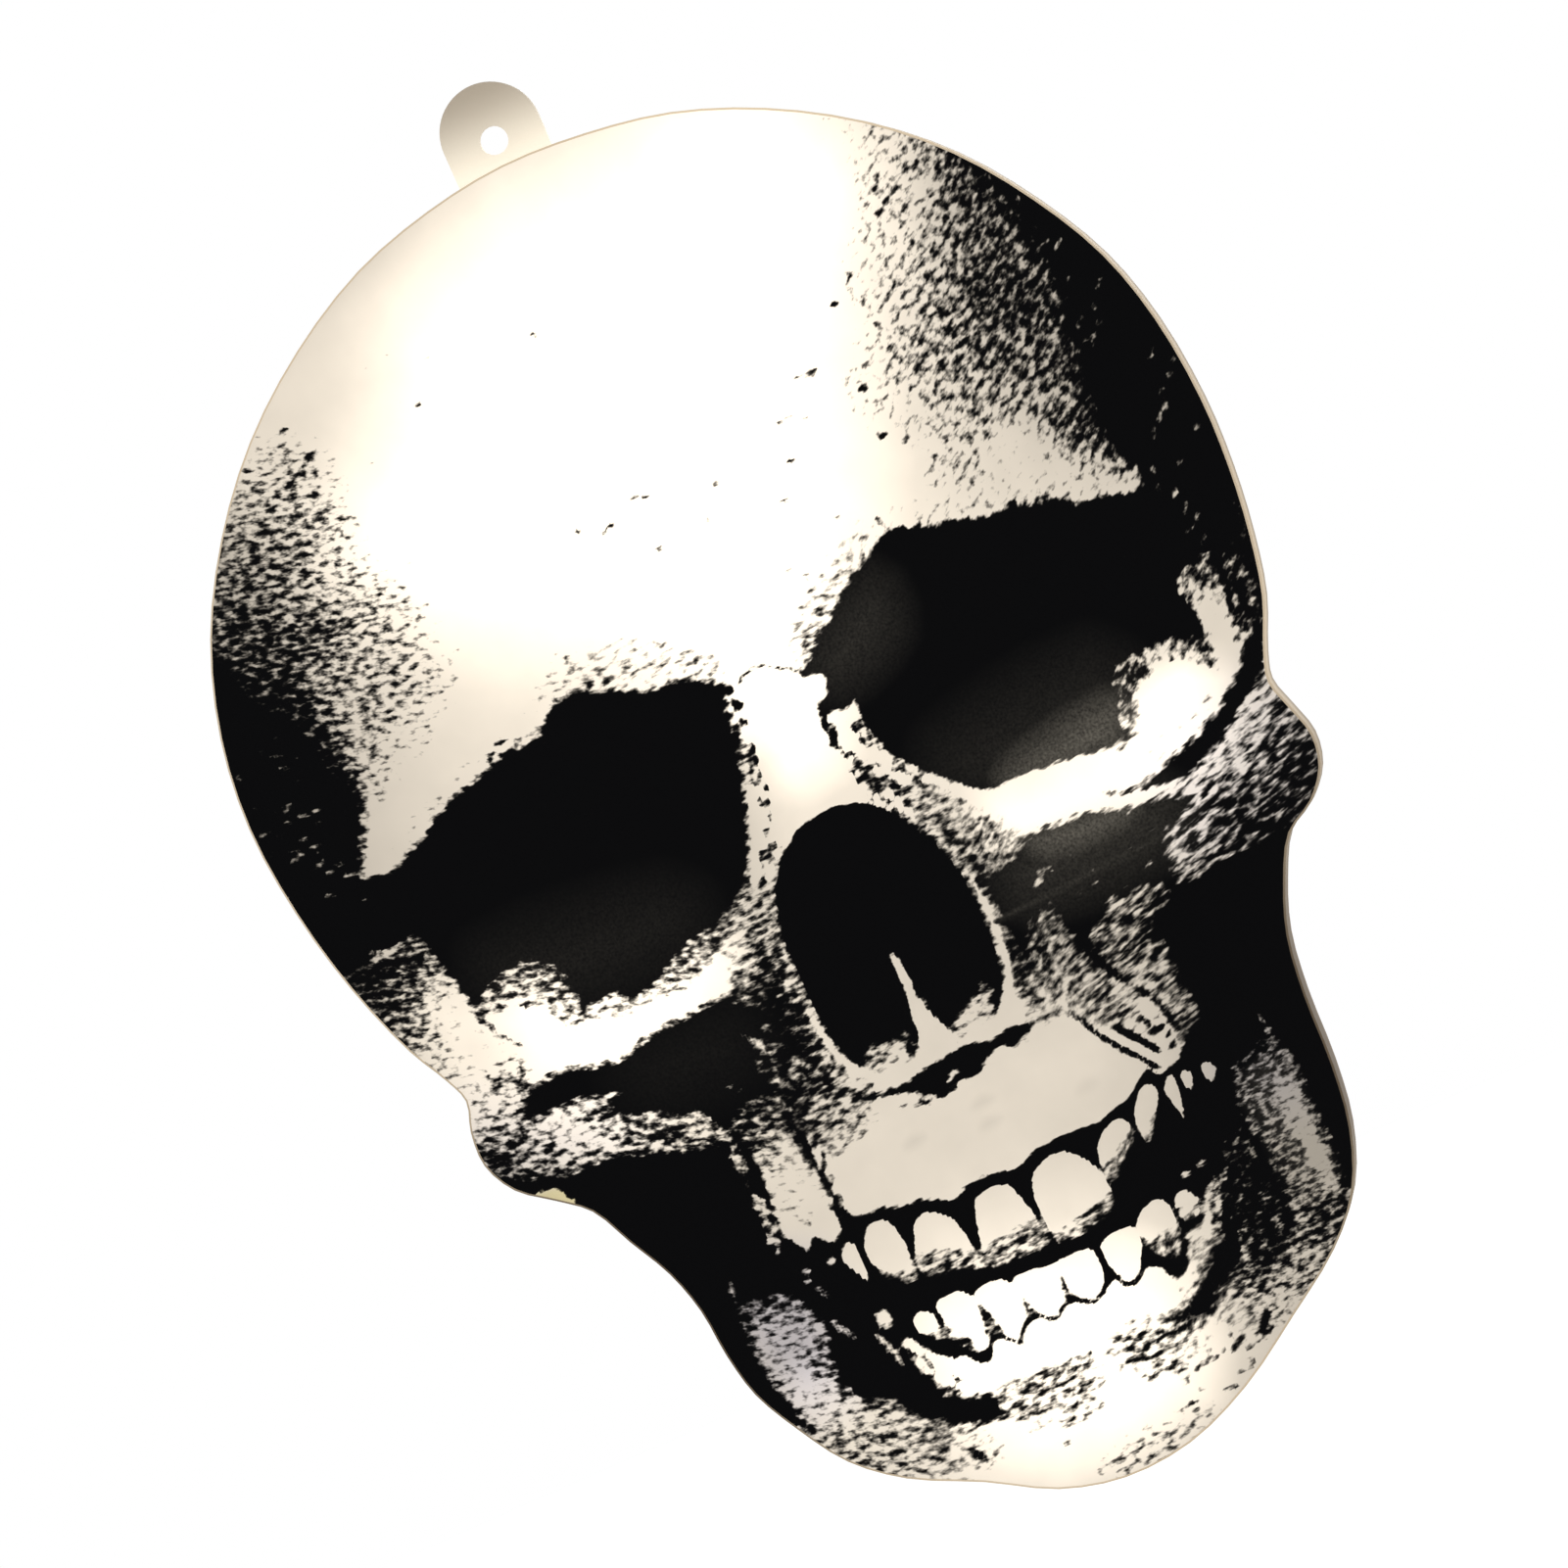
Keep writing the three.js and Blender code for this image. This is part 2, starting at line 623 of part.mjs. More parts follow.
function slideSwitch() {
  const lugs = block(toggle, switchWidth, switchHeight + 2 * lugHeight, seatY - lugThickness, seatY);
  const body = cut(
    join(block(toggle, switchWidth, switchHeight, seatY - switchDepth, seatY), lugs),
    block(
      toggle, shoeWidth + 2 * fit, shoeHeight + knobTravel + 2 * fit, seatY - pocketDepth, seatY + overrun,
    ),
    ...[-1, 1].map(stakePlace).map((centre) =>
      post(centre, stakeRadius + fit, seatY - lugThickness - overrun, seatY + overrun, smallSides)),
  );
  add('switch_body', geometryOf(body), 0x232325, 0.5);
  const start = shifted(toggle, 0, -knobTravel / 2);
  const shoeNear = seatY - pocketDepth + fit;
  const tip = backY - knobSink;
  const square = (size) =>
    [[-1, -1], [1, -1], [1, 1], [-1, 1]].map(([x, y]) => shifted(start, x * size / 2, y * size / 2));
  const stem = ringSolid([
    { points: square(knobSize - 2 * knobChamfer), y: tip },
    { points: square(knobSize), y: tip - knobChamfer },
    { points: square(knobSize), y: shoeNear },
  ]);
  const shoe = block(start, shoeWidth, shoeHeight, shoeNear, shoeNear + shoeThickness);
  add('switch_slider', geometryOf(join(stem, shoe)), 0x1c1c1e, 0.45);
}

function lampProfile() {
  const shoulder = lampHeight - lampRadius;
  const profile = [
    new THREE.Vector2(0, 0),
    new THREE.Vector2(lampRimRadius, 0),
    new THREE.Vector2(lampRimRadius, -lampRimHeight),
    new THREE.Vector2(lampRadius, -lampRimHeight),
  ];
  for (let step = 0; step <= domeSteps; step++) {
    const turn = step / domeSteps * Math.PI / 2;
    const radius = step === domeSteps ? 0 : lampRadius * Math.cos(turn);
    profile.push(new THREE.Vector2(radius, -shoulder - lampRadius * Math.sin(turn)));
  }
  return profile;
}

function lampString() {
  lamps.forEach((centre, i) => {
    const disc = post(centre, lampBoardRadius, lampSeatY, seatY - postHeight);
    add(`led_board_${i + 1}`, closed(disc), 0xe8e8e2, 0.5);
    const bulb = new THREE.LatheGeometry(lampProfile(), smallSides);
    const lamp = add(`led_lamp_${i + 1}`, closed(bulb), 0xfff4d6, 0.15);
    lamp.position.set(centre.x, lampSeatY, centre.y);
  });
}

// A wire in the plane of the lamp boards, through the given places.
function wire(name, places, radius, colour) {
  const points = places.map(({ x, y }) => new THREE.Vector3(x, wireY, y));
  const length = new THREE.CatmullRomCurve3(points, false, 'centripetal').getLength();
  add(name, tube(points, radius, wireSides, Math.max(2, Math.round(length / wireStep))), colour, 0.5);
}

// The place just off a lamp board's rim, on the way to the next place.
function rim(centre, next) {
  return next.clone().sub(centre).setLength(lampBoardRadius + fit).add(centre);
}

function wires() {
  const boardTop = board.y + boardHeight / 2 + fit;
  const tail = new THREE.Vector2(lamps[0].x, boardTop);
  wire('led_wire_1', [tail, rim(lamps[0], tail)], pairWireRadius, 0xd9d6cc);
  for (const [number, bendShares] of Object.entries(wireBendShares)) {
    const [start, end] = [lamps[number - 2], lamps[number - 1]];
    const bends = bendShares.map(place);
    const route = [rim(start, bends[0] ?? end), ...bends, rim(end, bends.at(-1) ?? start)];
    wire(`led_wire_${number}`, route, pairWireRadius, 0xd9d6cc);
  }
  // The last lamp has a pair wire of its own from the board's left end.
  const leftEnd = shifted(board, -boardWidth / 2 - fit, 0);
  const leftBend = shifted(leftEnd, -wireStep, 0);
  const leftRoute = [leftEnd, leftBend, rim(lamps.at(-1), leftBend)];
  wire(`led_wire_${lamps.length}`, leftRoute, pairWireRadius, 0xd9d6cc);
  const redStart = new THREE.Vector2(toggle.x, boxHead + fit);
  const redEnd = new THREE.Vector2(toggle.x, switchFoot - fit);
  wire('feed_wire_red', [redStart, redEnd], feedWireRadius, 0xb3261e);
  const switchEnd = shifted(toggle, -switchWidth / 2 - fit, 0);
  const boardEnd = shifted(board, boardWidth / 2 + fit, 0);
  wire('feed_wire_switch', [boardEnd, switchEnd], feedWireRadius, 0xb3261e);
  const blackX = board.x - boardWidth / 2 + blackWireInset;
  const blackStart = new THREE.Vector2(blackX, boxHead + fit);
  const blackEnd = new THREE.Vector2(blackX, boardFoot - fit);
  wire('feed_wire_black', [blackStart, blackEnd], feedWireRadius, 0x1b1b1d);
}

function controlBoard() {
  const panel = block(board, boardWidth, boardHeight, boardSeatY, seatY - postHeight);
  add('control_board', closed(panel), 0x2f6b46, 0.5);
  const chipPlace = shifted(board, -chipOffset, 0);
  const chip = block(chipPlace, chipWidth, chipHeight, boardSeatY - chipDepth, boardSeatY);
  add('timer_chip', closed(chip), 0x1f1f21, 0.4);
  const resistor = new THREE.CylinderGeometry(resistorRadius, resistorRadius, resistorLength, smallSides)
    .rotateX(Math.PI / 2)
    .translate(board.x - boardWidth / 2 + resistorInset, boardSeatY - fit - resistorRadius, board.y);
  add('resistor', closed(resistor), 0xc9b48a, 0.5);
  const canPlace = shifted(board, boardWidth / 2 - capacitorInset, 0);
  const can = post(canPlace, capacitorRadius, boardSeatY - capacitorHeight, boardSeatY);
  add('capacitor', closed(can), 0x2b3550, 0.35);
}

frontCover();
printedFace();
rearCover();
batteryBox();
batteryDoor();
cellsAndContacts();
slideSwitch();
controlBoard();
lampString();
wires();
caseScrews.forEach((centre, i) => screw(`case_screw_${i + 1}`, centre, screwLength));
boxScrews.forEach((centre, i) => screw(`box_screw_${i + 1}`, centre, screwLength));
screw('door_screw', doorScrew, doorScrewLength + plateThickness - screwSink);

export default light;
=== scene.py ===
import functools
import math

import bpy
import numpy as np
from mathutils import Matrix, Vector


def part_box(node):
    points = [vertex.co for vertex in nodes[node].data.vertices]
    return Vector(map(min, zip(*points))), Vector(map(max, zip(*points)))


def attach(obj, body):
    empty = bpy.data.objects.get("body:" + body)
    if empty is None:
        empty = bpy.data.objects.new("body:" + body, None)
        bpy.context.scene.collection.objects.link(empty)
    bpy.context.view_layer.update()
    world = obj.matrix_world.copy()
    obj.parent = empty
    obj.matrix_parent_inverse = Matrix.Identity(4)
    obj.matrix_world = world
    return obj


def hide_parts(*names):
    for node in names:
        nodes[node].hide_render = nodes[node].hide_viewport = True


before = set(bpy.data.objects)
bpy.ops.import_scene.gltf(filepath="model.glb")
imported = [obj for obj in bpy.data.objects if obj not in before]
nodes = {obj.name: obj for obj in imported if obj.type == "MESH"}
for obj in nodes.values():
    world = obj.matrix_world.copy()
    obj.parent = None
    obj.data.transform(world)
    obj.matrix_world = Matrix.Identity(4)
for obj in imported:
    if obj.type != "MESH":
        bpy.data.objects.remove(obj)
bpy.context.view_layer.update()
mm = 0.001

photoView = {
    "aim": (1.6, -17.4, -96.85),  # mm, the middle of the picture
    "azimuth": 4.0,  # degrees towards +X, where the side wall just shows
    "elevation": 0.5,
    "tilt": 24.0,  # degrees the skull leans to the left in the picture
    "distance": 1.9,
    "frameWidth": 0.2137,  # metres across the picture at the face
    "sensorWidth": 36,  # mm
    "clip": (0.1, 50),
}

studio = {
    "worldLevel": 0.5,
    "floorHeight": -0.32,
    "floorSize": 6.0,
    "floorColour": "#EFEDE9",
    "floorGlow": 0.62,
    "lampTarget": (0, 0, -0.1),
    "lamps": {  # place in metres, width in metres, watts
        "keyLamp": ((-0.7, -1.3, 0.5), 1.2, 9.0),
        "fillLamp": ((0.9, -1.1, 0.1), 1.0, 5.0),
        "backLamp": ((0.5, 1.3, 0.6), 1.2, 9.0),
    },
}


def linear(hexColour):
    parts = [int(hexColour[k:k + 2], 16) / 255 for k in (1, 3, 5)]
    return [p / 12.92 if p <= 0.04045 else ((p + 0.055) / 1.055) ** 2.4 for p in parts] + [1.0]


def addNode(tree, kind, inputs=None, output=0, **settings):
    # a shader node with its settings, values and links. Gives one of its outputs
    made = tree.nodes.new("ShaderNode" + kind)
    for name, value in settings.items():
        setattr(made, name, value)
    for name, value in (inputs or {}).items():
        if isinstance(value, bpy.types.NodeSocket):
            tree.links.new(value, made.inputs[name])
        else:
            made.inputs[name].default_value = value
    return made.outputs[output]


def connect(shader, sources):
    for socket, source in sources.items():
        shader.id_data.links.new(source, shader.inputs[socket])


def newMaterial(name, constants):
    # the material, its shader, addNode for its own tree, and the place on the object in metres
    material = bpy.data.materials.new(name)
    material.use_nodes = True
    shader = material.node_tree.nodes["Principled BSDF"]
    for socket, value in constants.items():
        shader.inputs[socket].default_value = value
    node = functools.partial(addNode, material.node_tree)
    return material, shader, node, node("TexCoord", output="Object")


def makeCamera():
    a, e, tilt = (math.radians(photoView[name]) for name in ("azimuth", "elevation", "tilt"))
    back = Vector((math.sin(a) * math.cos(e), -math.cos(a) * math.cos(e), math.sin(e)))
    level = Vector((math.cos(a), math.sin(a), 0))
    upright = back.cross(level)
    right = math.cos(tilt) * level - math.sin(tilt) * upright
    up = math.sin(tilt) * level + math.cos(tilt) * upright
    data = bpy.data.cameras.new("photoCamera")
    camera = bpy.data.objects.new("photoCamera", data)
    bpy.context.scene.collection.objects.link(camera)
    data.sensor_width = photoView["sensorWidth"]
    data.lens = photoView["sensorWidth"] * photoView["distance"] / photoView["frameWidth"]
    data.clip_start, data.clip_end = photoView["clip"]
    turn = Matrix((right, up, back)).transposed().to_4x4()
    aim = Vector(photoView["aim"]) * mm
    camera.matrix_world = Matrix.Translation(aim + back * photoView["distance"]) @ turn
    bpy.context.scene.camera = camera


def seenByCamera(tree):
    rays = addNode(tree, "LightPath").node.outputs
    seen = rays["Is Camera Ray"]
    for kind in ("Is Glossy Ray", "Is Transmission Ray"):
        seen = addNode(tree, "Math", {0: seen, 1: rays[kind]}, operation="MAXIMUM")
    return seen


def makeStudio():
    world = bpy.data.worlds.new("paleRoom")
    bpy.context.scene.world = world
    world.use_nodes = True
    tree = world.node_tree
    background = tree.nodes["Background"]
    background.inputs["Color"].default_value = (1, 1, 1, 1)
    connect(background, {"Strength": addNode(tree, "MapRange", {
        "Value": seenByCamera(tree), "To Min": studio["worldLevel"], "To Max": 1.0})})

    bpy.ops.mesh.primitive_plane_add(size=studio["floorSize"], location=(0, 0, studio["floorHeight"]))
    floor = bpy.context.object
    floor.name = "paleFloor"
    # painted board: matt, and bright enough to the camera to read as white paper with a soft shadow
    material, shader, node, place = newMaterial("paintedBoardMatt", {
        "Roughness": 0.9, "Base Color": linear(studio["floorColour"]), "Emission Color": (1, 1, 1, 1)})
    connect(shader, {"Emission Strength": node("Math", {
        0: seenByCamera(material.node_tree), 1: studio["floorGlow"]}, operation="MULTIPLY")})
    floor.data.materials.append(material)

    target = Vector(studio["lampTarget"])
    for name, (spot, width, watts) in studio["lamps"].items():
        data = bpy.data.lights.new(name, "AREA")
        data.size, data.energy = width, watts
        lamp = bpy.data.objects.new(name, data)
        bpy.context.scene.collection.objects.link(lamp)
        lamp.location = spot
        lamp.rotation_euler = (target - Vector(spot)).to_track_quat("-Z", "Y").to_euler()
    bpy.context.scene.view_settings.view_transform = "Standard"


makeCamera()
makeStudio()
print("camera and studio made")


# how strongly each lamp shows through the face, and how far its spot spreads, in mm
lampLight = {
    "strength": (0.25, 0.85, 1.2, 1.35, 0.9, 0.4, 1.0, 1.1),
    "reach": 19.0,
    "base": 0.07,
}
lampCentres = [sum(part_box(f"led_lamp_{k}"), Vector()) / 2 for k in range(1, 9)]


def shellGlow(node, place, reach):
    # the sum of the lamps' spots, as a value for a material
    total = 0.0
    for centre, strength in zip(lampCentres, lampLight["strength"]):
        gap = node("VectorMath", {0: place, 1: centre}, 1, operation="DISTANCE")
        share = node("Math", {0: gap, 1: reach}, operation="DIVIDE")
        square = node("Math", {0: share, 1: share, 2: 1.0}, operation="MULTIPLY_ADD")
        spot = node("Math", {0: strength, 1: square}, operation="DIVIDE")
        total = node("Math", {0: spot, 1: total}, operation="ADD")
    return total


# The printed face. All places on it are (x, down) in mm: x to the viewer's right and down from the hang hole.
faceFilm = {
    "cell": 0.5,  # mm, the grid that carries the print
    "rimGap": 0.25,
    "thickness": 0.3,
    "smoothing": 3,  # points on each stretch of a painted outline
    "toneBlur": 2.0,  # mm around a given tone in a wash where it hardly changes
    "toneFade": 1.5,  # how fast a given tone gives way to the next
}
mergeDistance = 1e-6
smoothAngle = math.radians(32)


def deselectAll():
    if bpy.context.object and bpy.context.object.mode == "EDIT":
        bpy.ops.mesh.select_all(action="DESELECT")
    else:
        bpy.ops.object.select_all(action="DESELECT")


def pickOnly(piece):
    deselectAll()
    bpy.context.view_layer.objects.active = piece
    piece.select_set(True)


def objectMode():
    bpy.ops.object.mode_set(mode="OBJECT")


def editAll():
    bpy.ops.object.mode_set(mode="EDIT")
    bpy.ops.mesh.select_all(action="SELECT")


def mergedCopy(node, name):
    # the CAD node's own shape as a closed mesh, with its curved walls shaded smooth
    piece = nodes[node].copy()
    piece.data = nodes[node].data.copy()
    for key in list(piece.keys()):
        del piece[key]
    piece.name = name
    piece.data.materials.clear()
    bpy.context.scene.collection.objects.link(piece)
    piece.parent = None
    pickOnly(piece)
    editAll()
    bpy.ops.mesh.customdata_custom_splitnormals_clear()
    bpy.ops.mesh.remove_doubles(threshold=mergeDistance)
    bpy.ops.mesh.normals_make_consistent(inside=False)
    objectMode()
    bpy.ops.object.shade_smooth_by_angle(angle=smoothAngle)
    return piece


def flatOutline(node):
    # the node's own outline, seen from the front, as a loop of (x, down)
    copy = mergedCopy(node, "outline_copy")
    spots = [v.co.copy() for v in copy.data.vertices]
    front = min(spot.y for spot in spots)
    uses = {}
    for polygon in copy.data.polygons:
        if all(spots[v].y < front + 1e-5 for v in polygon.vertices):
            for edge in polygon.edge_keys:
                uses[edge] = uses.get(edge, 0) + 1
    rim = {}
    for (a, b), used in uses.items():
        if used == 1:
            rim.setdefault(a, []).append(b)
            rim.setdefault(b, []).append(a)
    loop, last, here = [], None, min(rim)
    while here not in loop[:1]:
        loop.append(here)
        last, here = here, [n for n in rim[here] if n != last][0]
    bpy.data.objects.remove(copy)
    return np.array([(spots[v].x / mm, -spots[v].z / mm) for v in loop])


def toLoop(x, d, loop, closed=True):
    # distance to a line of points, above 0 inside a closed one, the share of the way along it and the nearest point
    near = np.full(x.shape, 1e9)
    along, nearX, nearD = np.zeros(x.shape), np.zeros(x.shape), np.zeros(x.shape)
    inside = np.zeros(x.shape, bool)
    count = len(loop) if closed else len(loop) - 1
    for k in range(count):
        (ax, ad), (bx, bd) = loop[k], loop[(k + 1) % len(loop)]
        ex, ed = bx - ax, bd - ad
        t = np.clip(((x - ax) * ex + (d - ad) * ed) / max(ex * ex + ed * ed, 1e-9), 0, 1)
        gx, gd = x - ax - t * ex, d - ad - t * ed
        gap = gx * gx + gd * gd
        better = gap < near
        near = np.where(better, gap, near)
        along = np.where(better, (k + t) / count, along)
        nearX, nearD = np.where(better, ax + t * ex, nearX), np.where(better, ad + t * ed, nearD)
        if closed and ad != bd:
            inside ^= ((ad > d) != (bd > d)) & (x < ax + (d - ad) * ex / ed)
    near = np.sqrt(near)
    return (np.where(inside, near, -near) if closed else near), along, nearX, nearD


def meshPoints(data):
    flat = np.zeros(len(data.vertices) * 3)
    data.vertices.foreach_get("co", flat)
    return flat.reshape(-1, 3)


def meshPlaces(data):
    points = meshPoints(data) / mm
    return points[:, 0], -points[:, 2]


def pickOpenEdges():
    deselectAll()
    bpy.ops.mesh.select_non_manifold(
        use_wire=False, use_multi_face=False, use_non_contiguous=False, use_verts=False)


def makeFaceFilm():
    outline = flatOutline("printed_face")
    low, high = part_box("printed_face")
    cell = faceFilm["cell"] * mm
    across, tall = math.ceil((high.x - low.x) / cell), math.ceil((high.z - low.z) / cell)
    deselectAll()
    bpy.ops.mesh.primitive_grid_add(x_subdivisions=across, y_subdivisions=tall, size=1)
    film = bpy.context.object
    film.name = "printed_face_film"
    editAll()
    bpy.ops.transform.resize(value=(across * cell, tall * cell, 1))
    bpy.ops.transform.rotate(value=-math.pi / 2, orient_axis="X", center_override=(0, 0, 0))
    middle = (low + high) / 2
    bpy.ops.transform.translate(value=(middle.x, low.y, middle.z))
    deselectAll()
    bpy.ops.mesh.select_mode(type="VERT")
    objectMode()

    # cells outside the outline go, and a ring joins the rest to the outline
    data = film.data
    x, d = meshPlaces(data)
    data.vertices.foreach_set("select", toLoop(x, d, outline)[0] <= faceFilm["rimGap"])
    bpy.ops.object.mode_set(mode="EDIT")
    bpy.ops.mesh.delete(type="VERT")
    bpy.ops.mesh.select_all(action="SELECT")
    bpy.ops.mesh.delete_loose(use_verts=True, use_edges=True, use_faces=False)
    pickOpenEdges()
    bpy.ops.mesh.extrude_region_move()
    objectMode()
    picked = np.flatnonzero([v.select for v in data.vertices])
    x, d = meshPlaces(data)
    nearX, nearD = toLoop(x[picked], d[picked], outline)[2:]
    points = meshPoints(data)
    points[picked, 0], points[picked, 2] = nearX * mm, -nearD * mm
    data.vertices.foreach_set("co", points.ravel())
    bpy.ops.object.mode_set(mode="EDIT")
    bpy.ops.mesh.remove_doubles(threshold=0.01 * mm)
    pickOpenEdges()
    bpy.ops.mesh.extrude_region_move(TRANSFORM_OT_translate={"value": (0, faceFilm["thickness"] * mm, 0)})
    bpy.ops.mesh.edge_face_add()
    bpy.ops.mesh.select_all(action="SELECT")
    bpy.ops.mesh.normals_make_consistent(inside=False)
    objectMode()
    print("film made:", len(data.vertices), "points,", len(data.polygons), "faces")
    return film


film = makeFaceFilm()
spotX, spotD = meshPlaces(film.data)
layers = {
    "ink": np.zeros(spotX.shape),  # share of the surface that is black
    "light": np.full(spotX.shape, lampLight["base"]),  # how bright the paper looks
    "leak": np.zeros(spotX.shape),  # light that comes through the black
    "lilac": np.zeros(spotX.shape),  # cooler, pinkish tint, painted where less lamp light comes through
    "golden": np.zeros(spotX.shape),  # unprinted bits at the rim
    "calm": np.zeros(spotX.shape),  # 1 where the print's edges are clean rather than stippled
}
for centre, strength in zip(lampCentres, lampLight["strength"]):
    gap = (spotX - centre.x / mm) ** 2 + (spotD + centre.z / mm) ** 2
    layers["light"] += strength / (1 + gap / lampLight["reach"] ** 2)
# the figure sits a little lower at the brows and higher at the jaw than its coordinates say
shiftHeights, shifts = (55, 72, 90, 108, 148, 160, 205), (0, -0.1, -0.1, 0, 0.1, 0.35, 0.35)
spotD = spotD + np.interp(spotD, shiftHeights, shifts)


def rounded(points):
    # a closed smooth line through the points
    steps = faceFilm["smoothing"]
    b = np.array(points, float)
    a, c, d = np.roll(b, 1, 0), np.roll(b, -1, 0), np.roll(b, -2, 0)
    t = (np.arange(steps) / steps)[:, None, None]
    curve = 0.5 * (2 * b + (c - a) * t + (2 * a - 5 * b + 4 * c - d) * t ** 2 + (3 * b - a - 3 * c + d) * t ** 3)
    return curve.transpose(1, 0, 2).reshape(-1, 2)


def nearby(points, margin):
    p = np.array(points, float)
    (x0, d0), (x1, d1) = p.min(0) - margin, p.max(0) + margin
    return np.flatnonzero((spotX > x0) & (spotX < x1) & (spotD > d0) & (spotD < d1))


def lay(where, depth, edge, tone, layer):
    # the tone covers more the deeper a spot lies. edge is half the width of the soft rim
    amount = np.clip(0.5 + depth / (2 * edge), 0, 1)
    old = layers[layer][where]
    layers[layer][where] = old + (tone - old) * amount


def patch(tone, edge, points, layer="ink"):
    # a filled shape
    loop = rounded(points)
    where = nearby(loop, edge)
    lay(where, toLoop(spotX[where], spotD[where], loop)[0], edge, tone, layer)


def wash(edge, tones, points):
    # a filled shape whose tone runs between a few given places (x, down, tone)
    loop = rounded(points)
    where = nearby(loop, edge)
    x, d = spotX[where], spotD[where]
    total, weight = np.zeros(x.shape), np.zeros(x.shape)
    for tx, td, tone in tones:
        w = 1 / ((x - tx) ** 2 + (d - td) ** 2 + faceFilm["toneBlur"] ** 2) ** faceFilm["toneFade"]
        total, weight = total + w * tone, weight + w
    lay(where, toLoop(x, d, loop)[0], edge, total / weight, "ink")


def stroke(tone, width, points, edge=0.4, taper=0.5, layer="ink"):
    # a line that thins towards its ends
    line = np.array(points, float)
    where = nearby(line, width + edge)
    gap, along = toLoop(spotX[where], spotD[where], line, closed=False)[:2]
    half = width / 2 * (1 - taper * np.abs(2 * along - 1) ** 2)
    lay(where, half - gap, edge, tone, layer)


def dots(tone, size, points, edge=0.35):
    # small flat ovals
    for x, d in points:
        where = nearby([(x, d)], size + edge)
        gap = np.hypot((spotX[where] - x) * 0.8, (spotD[where] - d) * 1.25)
        lay(where, size / 2 - gap, edge, tone, "ink")


def flecks(seed, tone, count, points, slope, length=1.6, width=0.6):
    # short random strokes inside a shape, as a dry brush leaves them
    random = np.random.default_rng(seed)
    loop = np.array(points, float)
    x, d = random.uniform(loop.min(0), loop.max(0), (count, 2)).T
    for k in np.flatnonzero(toLoop(x, d, loop)[0] > 0):
        turn = math.radians(slope + random.normal(0, 14))
        half = length * random.uniform(0.3, 0.7)
        dx, dd = half * math.cos(turn), -half * math.sin(turn)
        stroke(tone, width, [(x[k] - dx, d[k] - dd), (x[k], d[k] + 0.15), (x[k] + dx, d[k] + dd)], taper=0.7)


def dashes(seed, line, count, spread, width):
    # short random marks along a line
    random = np.random.default_rng(seed)
    points = np.array(line, float)
    steps = np.hypot(*np.diff(points, axis=0).T)
    places = np.sort(random.uniform(0, steps.sum(), count))
    ends = np.concatenate([[0], np.cumsum(steps)])
    for s in places:
        k = min(np.searchsorted(ends, s, side="right") - 1, len(steps) - 1)
        way = (points[k + 1] - points[k]) / steps[k]
        middle = points[k] + way * (s - ends[k]) + np.array([way[1], -way[0]]) * random.normal(0, spread / 2)
        half = way * random.uniform(0.3, 0.75)
        stroke(random.uniform(0.75, 1), width, [middle - half, middle, middle + half], edge=0.35)


def ripples(seed, rows, start, end, width):
    # rows of small broken waves
    random = np.random.default_rng(seed)
    for row in rows:
        x, d = start + random.uniform(0, 2), row
        while x < end:
            reach = random.uniform(1.5, 3)
            sag = random.uniform(0.2, 0.5)
            stroke(random.uniform(0.75, 1), width, [(x, d), (x + reach / 2, d + sag), (x + reach, d - 0.1)],
                   edge=0.3, taper=0.6)
            x += reach * random.uniform(0.75, 1.4)
            d += random.normal(0, 0.15)


